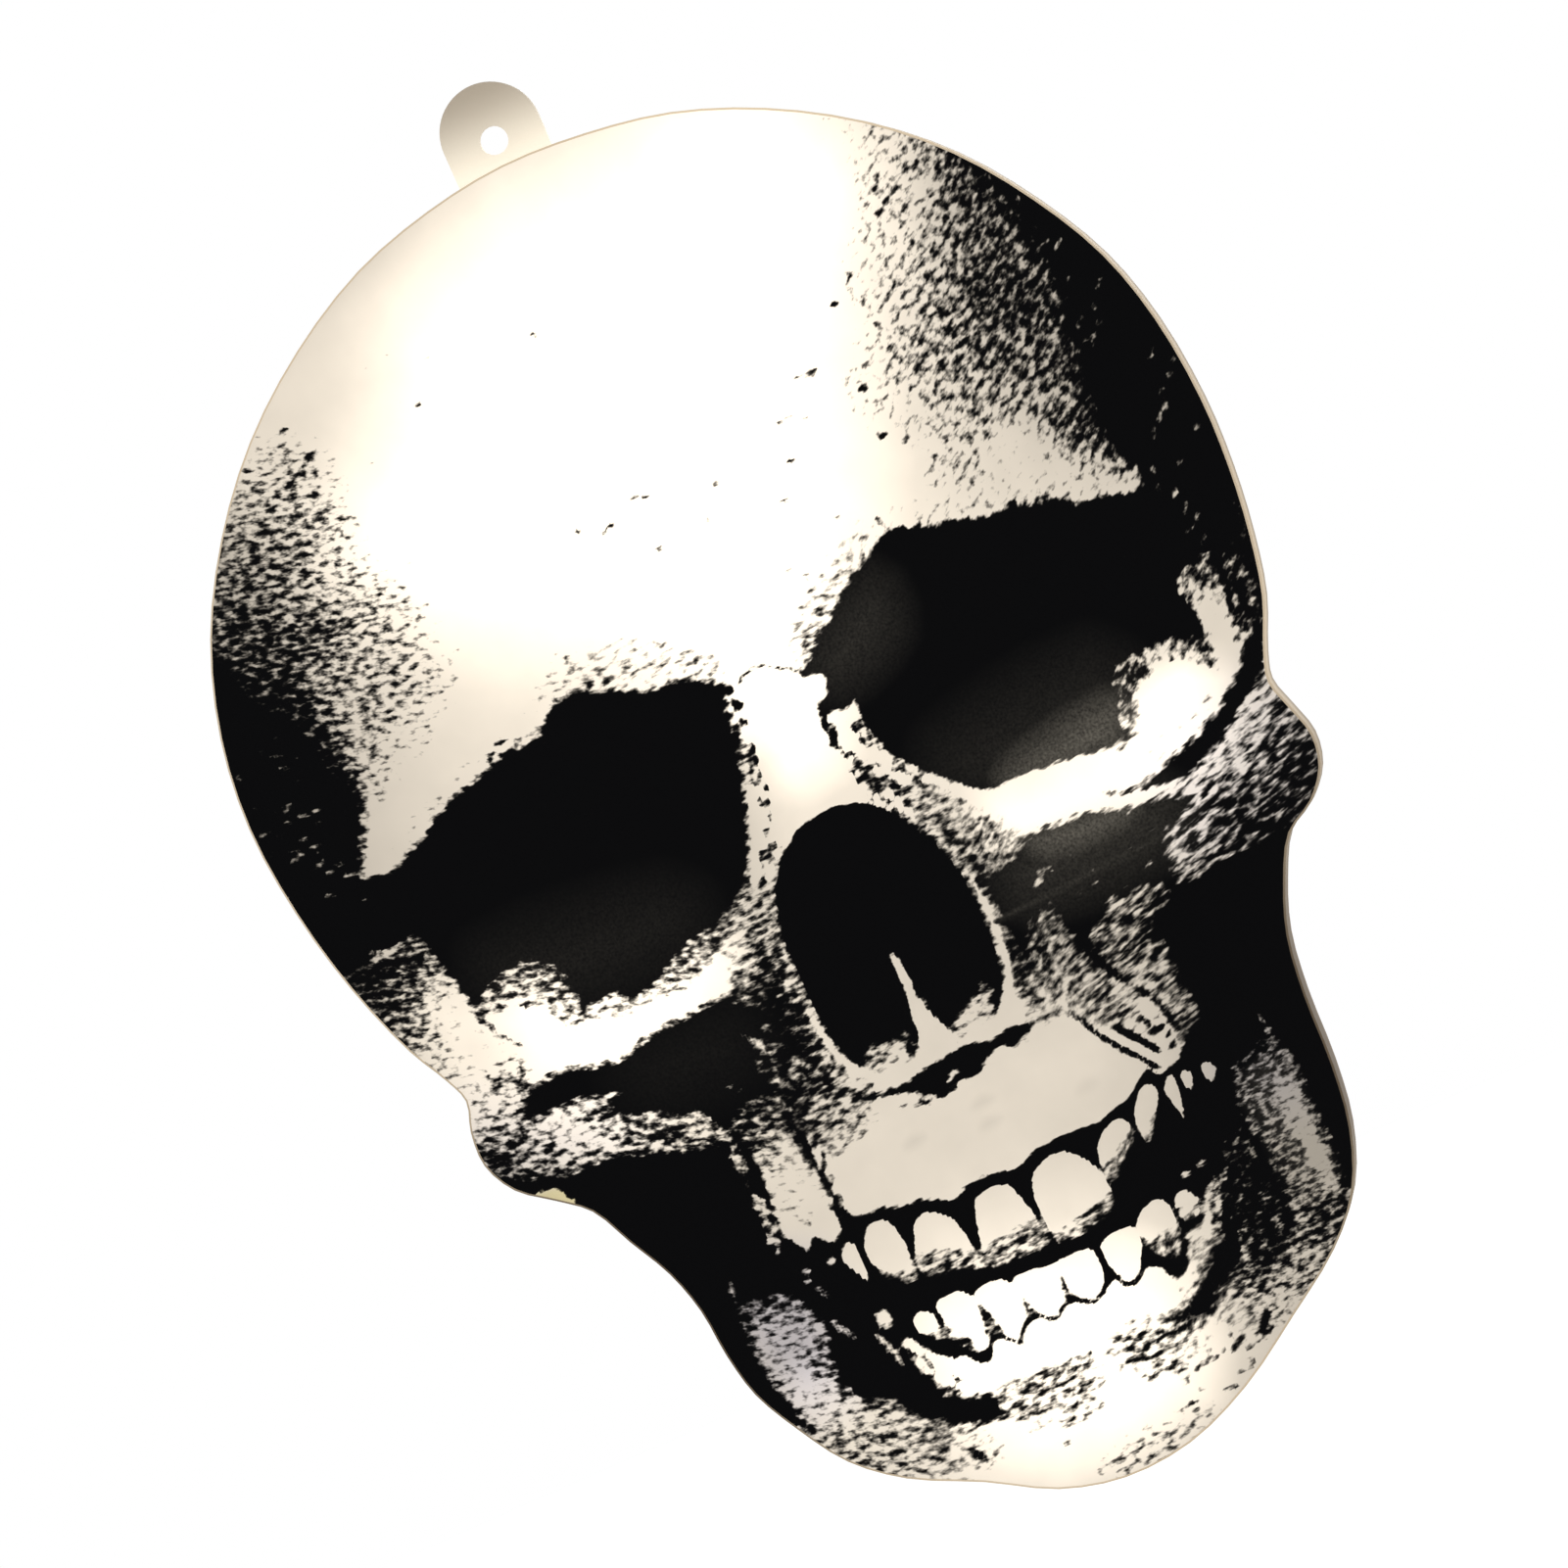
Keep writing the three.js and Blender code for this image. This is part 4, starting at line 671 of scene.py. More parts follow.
def paintLeftCheek():
    # stipple between the hollow and the nose, then the hollow, its arch and the black below
    wash(0.8, [(-9.4, 112, 0.4), (-9.8, 118, 0.78), (-10, 126, 0.88), (-9.5, 134, 0.8), (-8, 138, 0.65)],
        [(-9, 109), (-7.7, 113), (-8.4, 120), (-8.5, 128), (-8, 133), (-6.5, 137), (-4.5, 139.5), (-6, 141.5),
         (-11, 142), (-12, 130), (-11.5, 118), (-11, 111)])
    wash(1.2, [(-15, 121, 0.55), (-15, 124, 0.95), (-12, 124, 0.95), (-15.5, 129, 0.82), (-12, 130, 0.92),
        (-14, 133, 0.87), (-12, 137, 0.82), (-16, 138, 0.9), (-12, 141, 0.3), (-8.5, 141, 0.3),
        (-15.5, 141.5, 0.75), (-18, 140.5, 0.6), (-5, 141.5, 0.5), (-6, 144, 0.1), (-13, 145, 0.1)],
        [(-17, 119.8), (-12, 119.3), (-9.6, 122), (-9.8, 130), (-9, 137), (-6, 141), (-6, 144), (-12, 146),
         (-15.5, 144), (-22, 141.5), (-23, 134)])
    patch(1, 0.8, [(-51, 124.6), (-48, 121.5), (-46, 120.5), (-42, 120.4), (-39, 121.2), (-36, 122), (-34, 122.2),
        (-31, 121.4), (-28, 120.6), (-22, 120.4), (-20.5, 120), (-17.5, 120.4), (-16, 122.3), (-14.5, 124),
        (-15, 126), (-17.5, 129), (-17, 134), (-18, 138), (-22, 139.5), (-24.5, 138.2), (-26.5, 134.8),
        (-27.5, 133.2), (-30.5, 133), (-32, 131.5), (-35.5, 130.3), (-37.5, 129), (-39.3, 127.3), (-38, 126.4),
        (-36, 126.2), (-38, 125.8), (-41, 125.2), (-44, 125), (-49, 124.8)])
    dots(0.3, 0.8, [(-22, 131.5), (-21, 132.8), (-19, 135), (-20, 137)])
    stroke(0.2, 0.7, [(-17.5, 126), (-16.2, 127.6), (-15, 130)])
    flecks(61, 0.2, 16, [(-17, 128), (-11, 122), (-10, 138), (-17, 139)], -62, 1.4, 0.45)
    wash(1.2, [(-56.5, 128, 0.75), (-54, 127, 0.74), (-51, 126.5, 0.55), (-51, 129.5, 0.45), (-48, 127, 0.12),
        (-44, 128, 0.01), (-42, 130, 0.02), (-39.5, 127.5, 0.62), (-37, 128.5, 0.78), (-52, 132, 0.66),
        (-45, 132, 0.22), (-41, 132, 0.14), (-37, 132, 0.42), (-33, 132.5, 0.52), (-30, 135, 0.45), (-27, 137, 0.7),
        (-57, 122, 0.12), (-53.5, 121, 0.08), (-52, 123.5, 0.38), (-47, 134, 0.85)],
        [(-60, 118), (-54, 119), (-50, 122), (-49, 125), (-40, 126), (-37, 130), (-33, 131), (-28, 135),
         (-26, 138.5), (-30, 137), (-36, 135), (-42, 134), (-50, 134), (-56, 133), (-62, 126)])
    flecks(62, 1, 26, [(-42, 130), (-34, 132.5), (-28, 135), (-27, 138.5), (-36, 135), (-46, 133.5)], -17, 2.0, 0.5)
    flecks(66, 1, 8, [(-57, 125), (-50, 125.5), (-42, 126), (-38, 127), (-38, 129), (-50, 130), (-56, 130)], -12,
        1.8, 0.5)
    patch(1, 0.7, [(-56.5, 130.5), (-53, 131.8), (-49, 133.2), (-45, 133.8), (-40, 133.9), (-37, 134.9),
        (-30, 137.4), (-24.5, 138.6), (-22.8, 139.4), (-22.6, 142), (-22.9, 147), (-23.4, 150), (-23.8, 156),
        (-24, 160), (-20, 182), (-30, 181), (-36, 174), (-50, 160), (-60, 148), (-66, 138)])
    patch(1, 1.0, [(-55, 134), (-48, 134.5), (-46, 137), (-50, 139), (-56, 137)], layer="golden")
    patch(0, 0.4, [(-54.3, 134.2), (-51, 134.4), (-49.2, 134.9), (-48.5, 136.2), (-47.6, 137.8), (-49, 138.5),
        (-55, 137.5)])
    flecks(68, 0.25, 46, [(-25.6, 140), (-24.3, 140), (-24.4, 155), (-25.8, 155)], 55, 1.2, 0.45)
    patch(0.04, 0.9, [(-21.5, 140), (-21.8, 142), (-22.3, 145), (-22.8, 149), (-23.3, 153.5), (-21.5, 156),
        (-19.8, 155), (-17.5, 156.5), (-15.5, 154.5), (-14, 151), (-14.3, 147.5), (-15, 144), (-16.3, 141),
        (-18, 139)])
    stroke(1, 1.5, [(-16.9, 137), (-16.6, 140), (-16.1, 143), (-15.9, 146)], taper=0.3)
    dashes(64, [(-16.6, 142), (-16.2, 146), (-15.5, 149), (-15.2, 152), (-15.3, 155.5)], 56, 0.8, 0.5)
    dashes(65, [(-19.5, 149), (-19.6, 152), (-19.9, 156)], 12, 0.5, 0.5)
    dashes(67, [(-13.6, 142), (-13.8, 147), (-14, 153)], 10, 1.6, 0.3)
    wash(1.0, [(-21, 140.5, 0.5), (-18.5, 140, 0.35), (-18, 137.5, 0.75), (-21.5, 137, 0.85), (-23, 140, 0.8),
        (-21.5, 143, 0.4), (-19, 143, 0.15), (-20.5, 147, 0.08), (-17.3, 146, 0.3), (-18, 150, 0.05),
        (-22.5, 151, 0.35)],
        [(-24, 137), (-20, 134.5), (-16.8, 136.5), (-16.8, 142), (-16.2, 148), (-16.4, 152), (-20, 153),
         (-22.6, 150), (-22.3, 142)])


def paintRightCheek():
    wash(1.2, [(51, 120.5, 0.25), (54, 119.5, 0.2), (57, 117.5, 0.32), (60, 116.5, 0.14), (64, 114, 0.4),
        (63, 118, 0.32), (66, 112.5, 0.2), (67, 117, 0.4), (57, 121, 0.42), (62, 121, 0.55), (66, 121, 0.76),
        (48, 121.5, 0.6), (52, 124, 0.5), (57, 124, 0.68), (62, 124.5, 0.82), (49.5, 126, 0.3), (54, 127, 0.7),
        (50, 129, 0.45), (58, 128, 0.88), (67, 124, 0.95), (70, 119, 0.7)],
        [(46, 121), (49, 119.5), (52, 119), (58, 116.5), (64, 113), (68, 109.5), (69.5, 114), (71, 120), (70, 126),
         (64, 130), (58, 130.5), (48, 131), (45, 129)])
    flecks(71, 1, 60, [(50, 121), (60, 117), (69, 111), (70, 124), (60, 130), (48, 130)], 19, 2.6, 0.5)
    patch(1, 0.8, [(21.2, 121), (21.6, 119.5), (24, 119.3), (26.5, 118.5), (28.5, 117.2), (30.5, 116.6), (34, 117),
        (38, 117.3), (41, 118.2), (44, 119), (49, 119.8), (50.5, 121), (51, 122), (47.5, 122.8), (46.2, 125),
        (45.2, 127), (45.2, 129.5), (46, 131), (52, 130.3), (58, 130), (61, 129.6), (66, 128.5), (70, 127),
        (66, 132), (63, 140), (60, 152), (59, 168), (50, 158), (40, 160), (36, 156), (38.5, 152), (39.5, 147),
        (38.5, 142), (36, 139), (32, 139), (28, 139), (24, 138), (22.3, 134), (21.3, 130)])
    wash(0.7, [(20.3, 117, 0.5), (20.3, 125, 0.42), (20.2, 132, 0.42), (22.5, 117, 0.6)],
        [(19, 112), (20.5, 114), (23.5, 117), (24, 119), (21.5, 120.5), (21.3, 128), (21.6, 134), (19.5, 137),
         (18.6, 134), (19.2, 128), (19.6, 121)])
    stroke(0, 0.7, [(27, 123.7), (28, 123), (29.3, 122), (30.2, 122.2)])
    flecks(73, 0.82, 22, [(27, 118), (46, 119.5), (45, 127), (30, 127)], 10, 1.6, 0.4)
    # stippled columns between the hollow and the upper jaw
    wash(0.9, [(27, 128.5, 0.6), (26.8, 131.5, 0.42), (24, 132, 0.85), (26.5, 134.5, 0.55), (23, 135, 0.6),
        (21.5, 138, 0.3), (24, 138.5, 0.22), (26, 139.5, 0.1), (28, 137, 0.45), (30, 135, 0.75)],
        [(20.5, 134), (23, 130.5), (25.2, 127.5), (28, 126.5), (29, 131), (31, 136), (31, 139.5), (26, 141),
         (20, 141), (19.5, 137)])
    wash(0.8, [(34, 132, 0.6), (37.5, 131, 0.45), (41.5, 131, 0.75), (35, 134, 0.5)],
        [(31.5, 134), (32.5, 131.5), (35, 130), (38, 129), (41, 129), (43, 130), (43.5, 131.5), (41, 133.5),
         (37, 134.6), (34, 135)])
    wash(0.9, [(32, 137, 0.62), (35, 137, 0.55), (38.5, 136, 0.93), (35, 140, 0.1), (38, 140.5, 0.45),
        (38.5, 145, 0.5), (35, 144, 0.08), (34.5, 149, 0.03), (38.8, 150, 0.78), (32.5, 141, 0.3)],
        [(30.5, 134), (36, 134.5), (39.5, 135), (40, 140), (40.2, 147), (40, 151), (37.5, 151.8), (34.5, 153.4),
         (32.5, 153), (32, 144)])
    wash(0.8, [(28.5, 141, 0.55), (29.5, 144, 0.55), (32, 145, 0.32), (33, 149, 0.28), (27, 143, 0.3)],
        [(25, 139.5), (30, 139), (32, 142), (35, 149), (32, 150), (28, 145)])
    patch(0.05, 0.6, [(27, 146), (30, 148), (33, 153), (31, 152.5), (28, 149)])
    stroke(1, 1.1, [(29.5, 131), (31, 136), (32.5, 139.5)])
    stroke(1, 0.55, [(32, 138.5), (34.5, 142), (36.3, 145), (37.2, 149)], taper=0.2)
    stroke(1, 0.75, [(25, 141.5), (26.5, 145), (29, 148.5), (31, 151), (32.5, 153)], taper=0.2)
    stroke(1, 0.75, [(29.5, 145.6), (31.5, 148.2), (33.6, 151)], taper=0.2)
    flecks(74, 0.75, 26, [(32.5, 144), (36, 146), (37, 150), (34, 152)], 10, 0.9, 0.4)
    flecks(72, 0.5, 16, [(62, 133), (58, 150), (52, 160), (56, 150), (60, 134)], 70, 1.2, 0.4)


def paintTeeth():
    # the mouth is black, and the teeth are pale shapes on it
    patch(1, 0.5, [(-25, 156), (-23.3, 153.8), (-21.5, 156.6), (-19.8, 155.4), (-17.5, 157), (-15, 155),
        (-12, 155.3), (-10, 155.2), (-8, 156.1), (-5, 156.4), (-2.5, 157.3), (-0.5, 158.4), (1, 157.9), (2, 157.3),
        (5, 157.2), (8.5, 157.8), (10, 157.7), (11.5, 157), (14, 156.4), (18, 156.3), (22, 156.6), (25, 155.7),
        (27, 155.3), (29, 153.8), (31, 152.6), (32.2, 154), (34.5, 153.6), (37.3, 151.8), (39.3, 150), (42, 152),
        (44, 158), (43, 168), (38, 180), (32, 184), (30, 182.5), (27, 180), (24.5, 180.6), (22.5, 180),
        (20.5, 177.5), (8, 177), (-6, 178), (-14, 182), (-22, 182), (-27, 170)])
    upper = [
        [(-16.7, 158), (-15.3, 158.3), (-15.2, 161), (-15.4, 164), (-16.4, 162.3), (-17.5, 160)],
        [(-14.3, 160), (-13, 157.3), (-11, 156.6), (-9.5, 157.8), (-8.8, 161), (-9, 164), (-9.3, 166), (-11, 165.5),
         (-12.7, 164), (-14, 162)],
        [(-7.3, 161), (-6.5, 159), (-4.5, 158.4), (-2.2, 159.8), (-1.2, 161.5), (-0.7, 164), (0, 168.3), (-1.5, 168),
         (-3, 167), (-5, 166.7), (-7.5, 166.5), (-8.3, 165), (-8, 162.5)],
        [(0.9, 164), (1.7, 161), (2.6, 159.4), (5, 158.9), (7, 159.3), (7.8, 160.5), (8.5, 163), (9.2, 165.5),
         (9.5, 168.5), (7, 169.5), (4, 168.7), (1, 168.8), (0.4, 167)],
        [(9.8, 165), (10, 162), (11, 159.6), (13, 158.4), (15, 158.1), (17, 159), (18.5, 160.8), (19.7, 163.5),
         (19.8, 166.5), (18.5, 168), (15, 168.8), (12, 169.6), (10.3, 168.5)],
        [(20, 161.5), (21, 159), (23, 157.6), (25, 157.4), (25.9, 159), (25.2, 160.3), (23.6, 162), (21.8, 163.6),
         (20.3, 164.6), (20, 163.3)],
        [(26.7, 158.5), (27.6, 156.4), (29.5, 154.5), (31, 155), (31, 156.5), (29.8, 158.6), (28.5, 160.2),
         (27.8, 161.6), (26.9, 161.8), (26.6, 160.2)],
        [(32, 156.5), (32.7, 155), (33.8, 154.7), (34, 156), (33.7, 158), (33, 161), (32.4, 158.5)],
        [(34.8, 155.2), (35.8, 154.8), (36.3, 156), (35.6, 157.7), (34.9, 157)],
        [(37.7, 156), (38.5, 154.8), (39.7, 156), (39, 157.5), (38.3, 157.8)],
    ]
    lower = [
        [(-12.2, 171.5), (-11, 170.5), (-9.7, 171), (-9.2, 172), (-9.3, 174), (-10.3, 174.8), (-11.8, 173.6)],
        [(-8.5, 170.5), (-6.5, 170), (-4.5, 170.2), (-3.3, 171.5), (-2.7, 171), (-1, 170.6), (1, 170.8),
         (2.5, 172), (3, 171.3), (6, 171.5), (8.5, 171.8), (12, 171.6), (14.5, 172.5), (14.6, 176), (13, 179),
         (10, 179), (5, 179), (0, 181), (-5, 181), (-8.6, 178), (-8.2, 174)],
        [(15.2, 172.5), (17, 171.4), (19, 171.2), (20.8, 172), (20.7, 174.5), (19.5, 177), (18, 178.5),
         (16.5, 177.3), (15.5, 175.5)],
        [(21, 172), (22, 170.5), (24, 169.5), (25.7, 169.8), (26.3, 171.5), (26.2, 174), (25, 176.5), (23, 177),
         (21.5, 174.5)],
        [(27, 171), (28, 169.8), (29.5, 170.3), (30.3, 172), (29.7, 173.7), (28, 174), (27, 173)],
    ]
    for tooth in upper + lower:
        patch(0, 0.4, tooth)
    # shading at the biting edges
    wash(0.6, [(-7.5, 164, 0.35), (-6, 166, 0.6), (-3, 166, 0.5), (-1, 167.5, 0.5), (-4, 164.5, 0.2)],
        [(-8.2, 163.5), (-5, 163.5), (-1.5, 165.5), (0, 167.5), (0, 168.5), (-3, 167.3), (-7.5, 166.8)])
    wash(0.6, [(3, 167.5, 0.5), (7.5, 168, 0.55), (5, 166.3, 0.3)],
        [(0.6, 166.3), (5, 165.3), (8.8, 165.5), (9.4, 168.8), (5, 169.2), (0.8, 168.8)])
    wash(0.6, [(13, 168.5, 0.35), (17.5, 167.5, 0.6)],
        [(10.5, 168.2), (14, 167.6), (19.4, 166), (19, 168.3), (15, 169.3), (11, 169.8)])
    wash(0.5, [(-11.5, 165, 0.4)], [(-14, 163.2), (-12, 164), (-9.3, 164.8), (-9.4, 166.2), (-11.5, 165.8)])
    wash(0.6, [(24, 175.6, 0.5)], [(21.5, 174.3), (26.2, 174), (25.8, 177), (24, 177.8), (22.3, 176.9)])
    wash(0.6, [(22, 163, 0.5), (24.5, 161.3, 0.45)],
        [(20.2, 163), (23, 161), (25.7, 159.5), (25, 161.2), (22, 163.9), (20.3, 164.8)])
    wash(0.5, [(28, 161, 0.4), (29, 173.3, 0.35)], [(27, 159.5), (29.8, 158.5), (28, 161.8), (26.8, 162)])
    for x, d in ((27.3, 172), (28.2, 173.3), (29.6, 172.6)):
        stroke(0.9, 0.4, [(x - 0.6, d + 0.2), (x, d), (x + 0.6, d - 0.1)])
    # gaps between the lower teeth and the line of the gum
    for gap in (
            [(-3.1, 171.5), (-2.3, 173.5), (-1.6, 175.5), (-1.2, 177.5), (-2.5, 178), (-4, 177.2), (-3.6, 175)],
            [(2.7, 173.5), (3.3, 173.5), (3.5, 175.5), (4, 177), (2, 177.5), (2.3, 176)],
            [(8.8, 173.5), (9.3, 174), (9.3, 176), (10, 177.5), (8, 177.5), (8, 176)]):
        patch(0.57, 0.45, gap)
    stroke(0.82, 0.7, [(-9, 177.5), (-7.5, 178), (-6.5, 179.5), (-5, 180.3), (-4, 179), (-3, 177.8), (-2, 178),
        (-1, 179), (0, 180), (1, 178.7), (2.5, 177.5), (4, 177.5), (5, 178.5), (6.3, 179), (7.3, 177.8),
        (9, 177.5)], taper=0.1)
    stroke(0.9, 0.75, [(9, 177.5), (10.3, 178.2), (11.5, 178.8), (13, 178.3), (14.3, 177), (15, 175.8),
        (16.3, 178.3), (17.7, 178.8), (19.3, 177.7), (20.5, 175.5)], taper=0.1)
    stroke(1, 0.8, [(14.8, 172.5), (14.9, 175), (14.7, 177)], taper=0.2)
    patch(0.08, 0.5, [(25, 179.3), (26.2, 177.5), (27, 175.6), (29, 175), (30.6, 174.6), (30.5, 176.5),
        (29.5, 178.5), (28, 180.5), (26.5, 182), (24.5, 183.5), (22, 183.5), (23, 180.8)])
    patch(1, 0.45, [(20.7, 174.5), (21.2, 175.8), (23, 178), (25, 177.8), (26.4, 175.6), (26.8, 176), (25.7, 178.5),
        (24.3, 179.8), (23, 179.5), (22, 178), (21, 176.5)])
    patch(1, 0.4, [(-7, 178), (-6, 178.7), (-4.3, 178.9), (-4.3, 180), (-5.5, 180.4), (-6.5, 179.5)])
    wash(0.5, [(-11, 174.8, 0.5), (-8.7, 176, 0.8), (-7, 177.5, 0.7), (-7, 175, 0.12)],
        [(-12, 173.8), (-9, 173.3), (-7, 174.3), (-5.5, 177.5), (-6.3, 178.6), (-9, 177), (-12, 175.3)])
    stroke(1, 1.0, [(-13, 172.3), (-12, 174.4), (-10.5, 175.8), (-8.7, 176.8), (-7.5, 178)], taper=0.3)
    # white gum at the viewer's left, hatched along its slope
    patch(0, 0.5, [(-14.9, 173), (-13.4, 173.3), (-12, 175.8), (-9.5, 177.8), (-7.5, 179.3), (-6.2, 180.6),
        (-3.5, 181.5), (-3, 185.5), (-6.5, 185.3), (-9.5, 183.8), (-12, 181.2), (-14, 178), (-14.3, 175.5)])
    # pale bits in the black at both corners of the mouth
    dots(0.3, 1.0, [(-22.8, 159.2), (-23.2, 160.6)])
    stroke(0.3, 0.7, [(-22.6, 161.5), (-21.8, 162.8), (-21.3, 163.6)])
    stroke(0.1, 1.0, [(-22.3, 167), (-21.5, 168.5), (-20.3, 170)])
    dots(0.1, 1.2, [(-19, 159.3), (30, 168), (32.5, 167.5)])
    patch(0.1, 0.5, [(-16.5, 168.5), (-15, 168.2), (-14.5, 170), (-15.5, 171), (-16.6, 170)])
    stroke(0.1, 0.9, [(-17.5, 171), (-16.3, 174), (-16, 176)])
    stroke(0.05, 0.9, [(26.8, 175.8), (28.5, 176.5), (30, 175.5), (31, 173), (32, 171.3), (34.5, 170.3)], taper=0.2)
    stroke(0.1, 0.9, [(31.2, 174.4), (32.2, 174.2), (32.8, 172.6), (32.6, 171.4)], taper=0.4)
    stroke(0.92, 0.8, [(27.4, 176.9), (27.6, 178.8), (26.6, 180.4)], taper=0.4)
    wash(0.8, [(29, 177, 0.15), (28, 180, 0.4)],
        [(27, 176.5), (30.5, 176.5), (31.3, 175), (31, 178), (29, 181), (26.5, 180.5)])
    wash(0.8, [(37, 167.5, 0.9)], [(35.5, 166.3), (38.5, 165.5), (39.5, 168), (37.5, 169.5), (35.8, 168.8)])
    for shift in (0, 1.6, 3.2):
        stroke(0.35, 0.6, [(31 + shift, 184 - shift), (33 + shift, 181 - shift), (33.5 + shift, 178 - shift)])


def paintJaw():
    # viewer's left: a lilac-grey column between the black edge and the black of the mouth
    patch(0.06, 0.9, [(-34, 160), (-31, 160.5), (-28, 160.8), (-26, 162), (-24.5, 165), (-23.5, 167), (-24, 169),
        (-25, 171), (-25.3, 174), (-25, 176), (-23, 178.7), (-20.5, 181), (-16.5, 184), (-22, 188), (-27, 186),
        (-30, 182), (-31, 176), (-32, 173), (-33, 170), (-33.5, 166), (-34, 162)])
    wash(1.0, [(-32, 162.5, 0.5), (-31, 161, 0.85), (-28, 161.3, 0.75), (-28, 163, 0.35), (-26, 164, 0.55),
        (-30, 166, 0.06), (-27, 167, 0.14), (-25.5, 169.5, 0.7), (-33, 170, 0.3), (-29, 173, 0.04), (-26, 173, 0.4),
        (-29.5, 179, 0.16), (-24, 180.5, 0.25), (-31.5, 175, 0.25), (-22, 181.5, 0.35)],
        [(-34, 160.5), (-28, 160.8), (-25.3, 163.5), (-24.3, 168), (-25, 173), (-24, 178), (-25, 182), (-29, 181),
         (-32, 175), (-33.5, 168)])
    stroke(0.15, 0.8, [(-33, 156.3), (-33.2, 157.5), (-33, 158.3)])
    wash(1.4, [(-28, 183, 0.42), (-24, 186, 0.34), (-27.5, 186.5, 0.5), (-22, 190, 0.45), (-24, 182, 0.15),
        (-20, 182, 0.3), (-20, 186, 0.14), (-16, 186, 0.6), (-20, 190, 0.32), (-16, 190, 0.26), (-12, 190.5, 0.12)],
        [(-30, 180), (-24, 179.5), (-20, 180), (-16, 183), (-10, 188.5), (-9, 193), (-18, 193), (-27, 188),
         (-33, 182)])
    flecks(97, 0.95, 46, [(-14.5, 174.5), (-12, 177), (-10, 180), (-8, 183), (-6, 185), (-11, 185), (-14, 181)],
        -54, 1.7, 0.4)
    patch(1, 0.6, [(-17, 176), (-14.8, 178.5), (-13.3, 181), (-11.8, 182.9), (-9.5, 184.1), (-6.5, 184.8),
        (-4, 185.1), (-4, 187), (-4.5, 188.2), (-7, 188.3), (-10, 187.6), (-12, 186.6), (-14, 185.2),
        (-16.4, 183.6), (-18.2, 181), (-17.8, 179)])
    wash(1.0, [(-3, 187, 0.3), (0, 186.5, 0.12), (4, 187.5, 0.12), (8, 188, 0.05), (3, 190.5, 0.08),
        (-4, 189.5, 0.08)],
        [(-5, 184.8), (0, 184.5), (6, 185), (10, 187), (8, 190), (6, 193), (0, 193), (-5, 190)])
    wash(1.0, [(13, 186, 0.1), (16, 185.5, 0.2), (19, 186.5, 0.24), (16, 188.5, 0.14), (20, 190, 0.08),
        (13, 190, 0.05), (23, 188, 0.18), (25, 190.5, 0.06)],
        [(10.5, 185), (16, 183.5), (21, 184.5), (25, 187.5), (24, 191), (20, 193), (13, 191.5)])
    patch(1, 1.0, [(20, 185.2), (22.5, 184.6), (24.5, 183.3), (26, 181.9), (28, 180.5), (30, 178), (32, 181),
        (31, 185), (28, 187), (25, 187), (22.3, 186.4)])
    wash(1.2, [(33, 185, 0.85), (38, 183, 0.7), (43, 182, 0.65), (37, 186.5, 0.28), (41, 186, 0.3),
        (46, 182.5, 0.6), (44, 185, 0.55), (32, 190, 0.14), (36, 189, 0.1), (32, 187.5, 0.36), (28, 188, 0.1)],
        [(26, 187), (33, 181.5), (40, 180), (47, 179), (50, 181), (45, 187), (38, 191), (30, 192.5)])
    # viewer's right: a grey column with black either side
    wash(1.0, [(43, 158, 0.62), (47, 158, 0.58), (43.5, 162, 0.53), (43, 168, 0.5), (43, 172, 0.58),
        (43.3, 177, 0.35), (41, 177, 0.8), (46, 181, 0.7), (49.9, 178, 0.68), (48, 162, 0.44), (44.8, 175, 0.45),
        (49.5, 168, 0.6)],
        [(41, 158), (45, 156.5), (48.5, 156), (49.6, 162), (49.8, 170), (50.2, 178), (47, 184), (42.5, 182),
         (41, 176), (40.7, 166)])
    wash(1.0, [(47.3, 162, 0.3), (47.5, 167, 0.16), (47.5, 172, 0.08), (47.5, 177, 0.3)],
        [(46, 162), (48.6, 161.5), (49, 168), (49, 176), (48, 179), (46.5, 177), (45.8, 170)])
    patch(1, 1.0, [(49.8, 150), (49.7, 160), (49.7, 168), (49.6, 173), (49.5, 178), (51, 181), (54, 175), (58, 165),
        (60, 150)])
    patch(0.97, 0.8, [(38.5, 168), (41.2, 168), (41.5, 176), (41, 180), (37.5, 183), (34, 184), (35, 176)])
    stroke(0.3, 0.7, [(48, 152), (48.3, 155), (48, 157.5)])
    flecks(96, 0.74, 90, [(33, 168), (40, 165), (40, 181), (33, 184)], 50, 1.3, 0.4)
    flecks(92, 1, 18, [(-28, 181), (-15, 186), (-14, 189.5), (-24, 189.5)], -10, 1.5, 0.45)
    ripples(93, (185, 186, 187, 188.1, 189.2), -4.5, 6.5, 0.45)
    ripples(94, (185, 186.3, 187.4, 188.4), 11.5, 21, 0.6)
    ripples(99, (190.6, 192.2), 0.5, 5, 0.35)
    ripples(100, (190, 191), 13, 18.5, 0.35)
    flecks(98, 0.85, 34, [(18, 192), (28, 190), (36, 189), (26, 197), (18, 198)], 40, 1.0, 0.35)
    wash(1.5, [(12, 200, 0.2)], [(4, 199), (20, 198), (19, 203), (6, 203)])
    stroke(1, 1.1, [(-12, 190.8), (-11.3, 191.6), (-10.7, 192.5)])
    stroke(1, 1.2, [(32.5, 189.7), (31.8, 190.6), (31, 191.8)], taper=0.2)
    stroke(1, 0.8, [(26, 192.7), (27, 191.9), (28.3, 191.3)])


def paintEdges():
    # the black left of the jaw's column, with a clean edge
    patch(1, 1.0, [(-33.3, 160), (-34, 166), (-34.2, 172), (-33.8, 174), (-34.2, 176), (-37, 176), (-50, 165),
        (-50, 150), (-36, 150)])


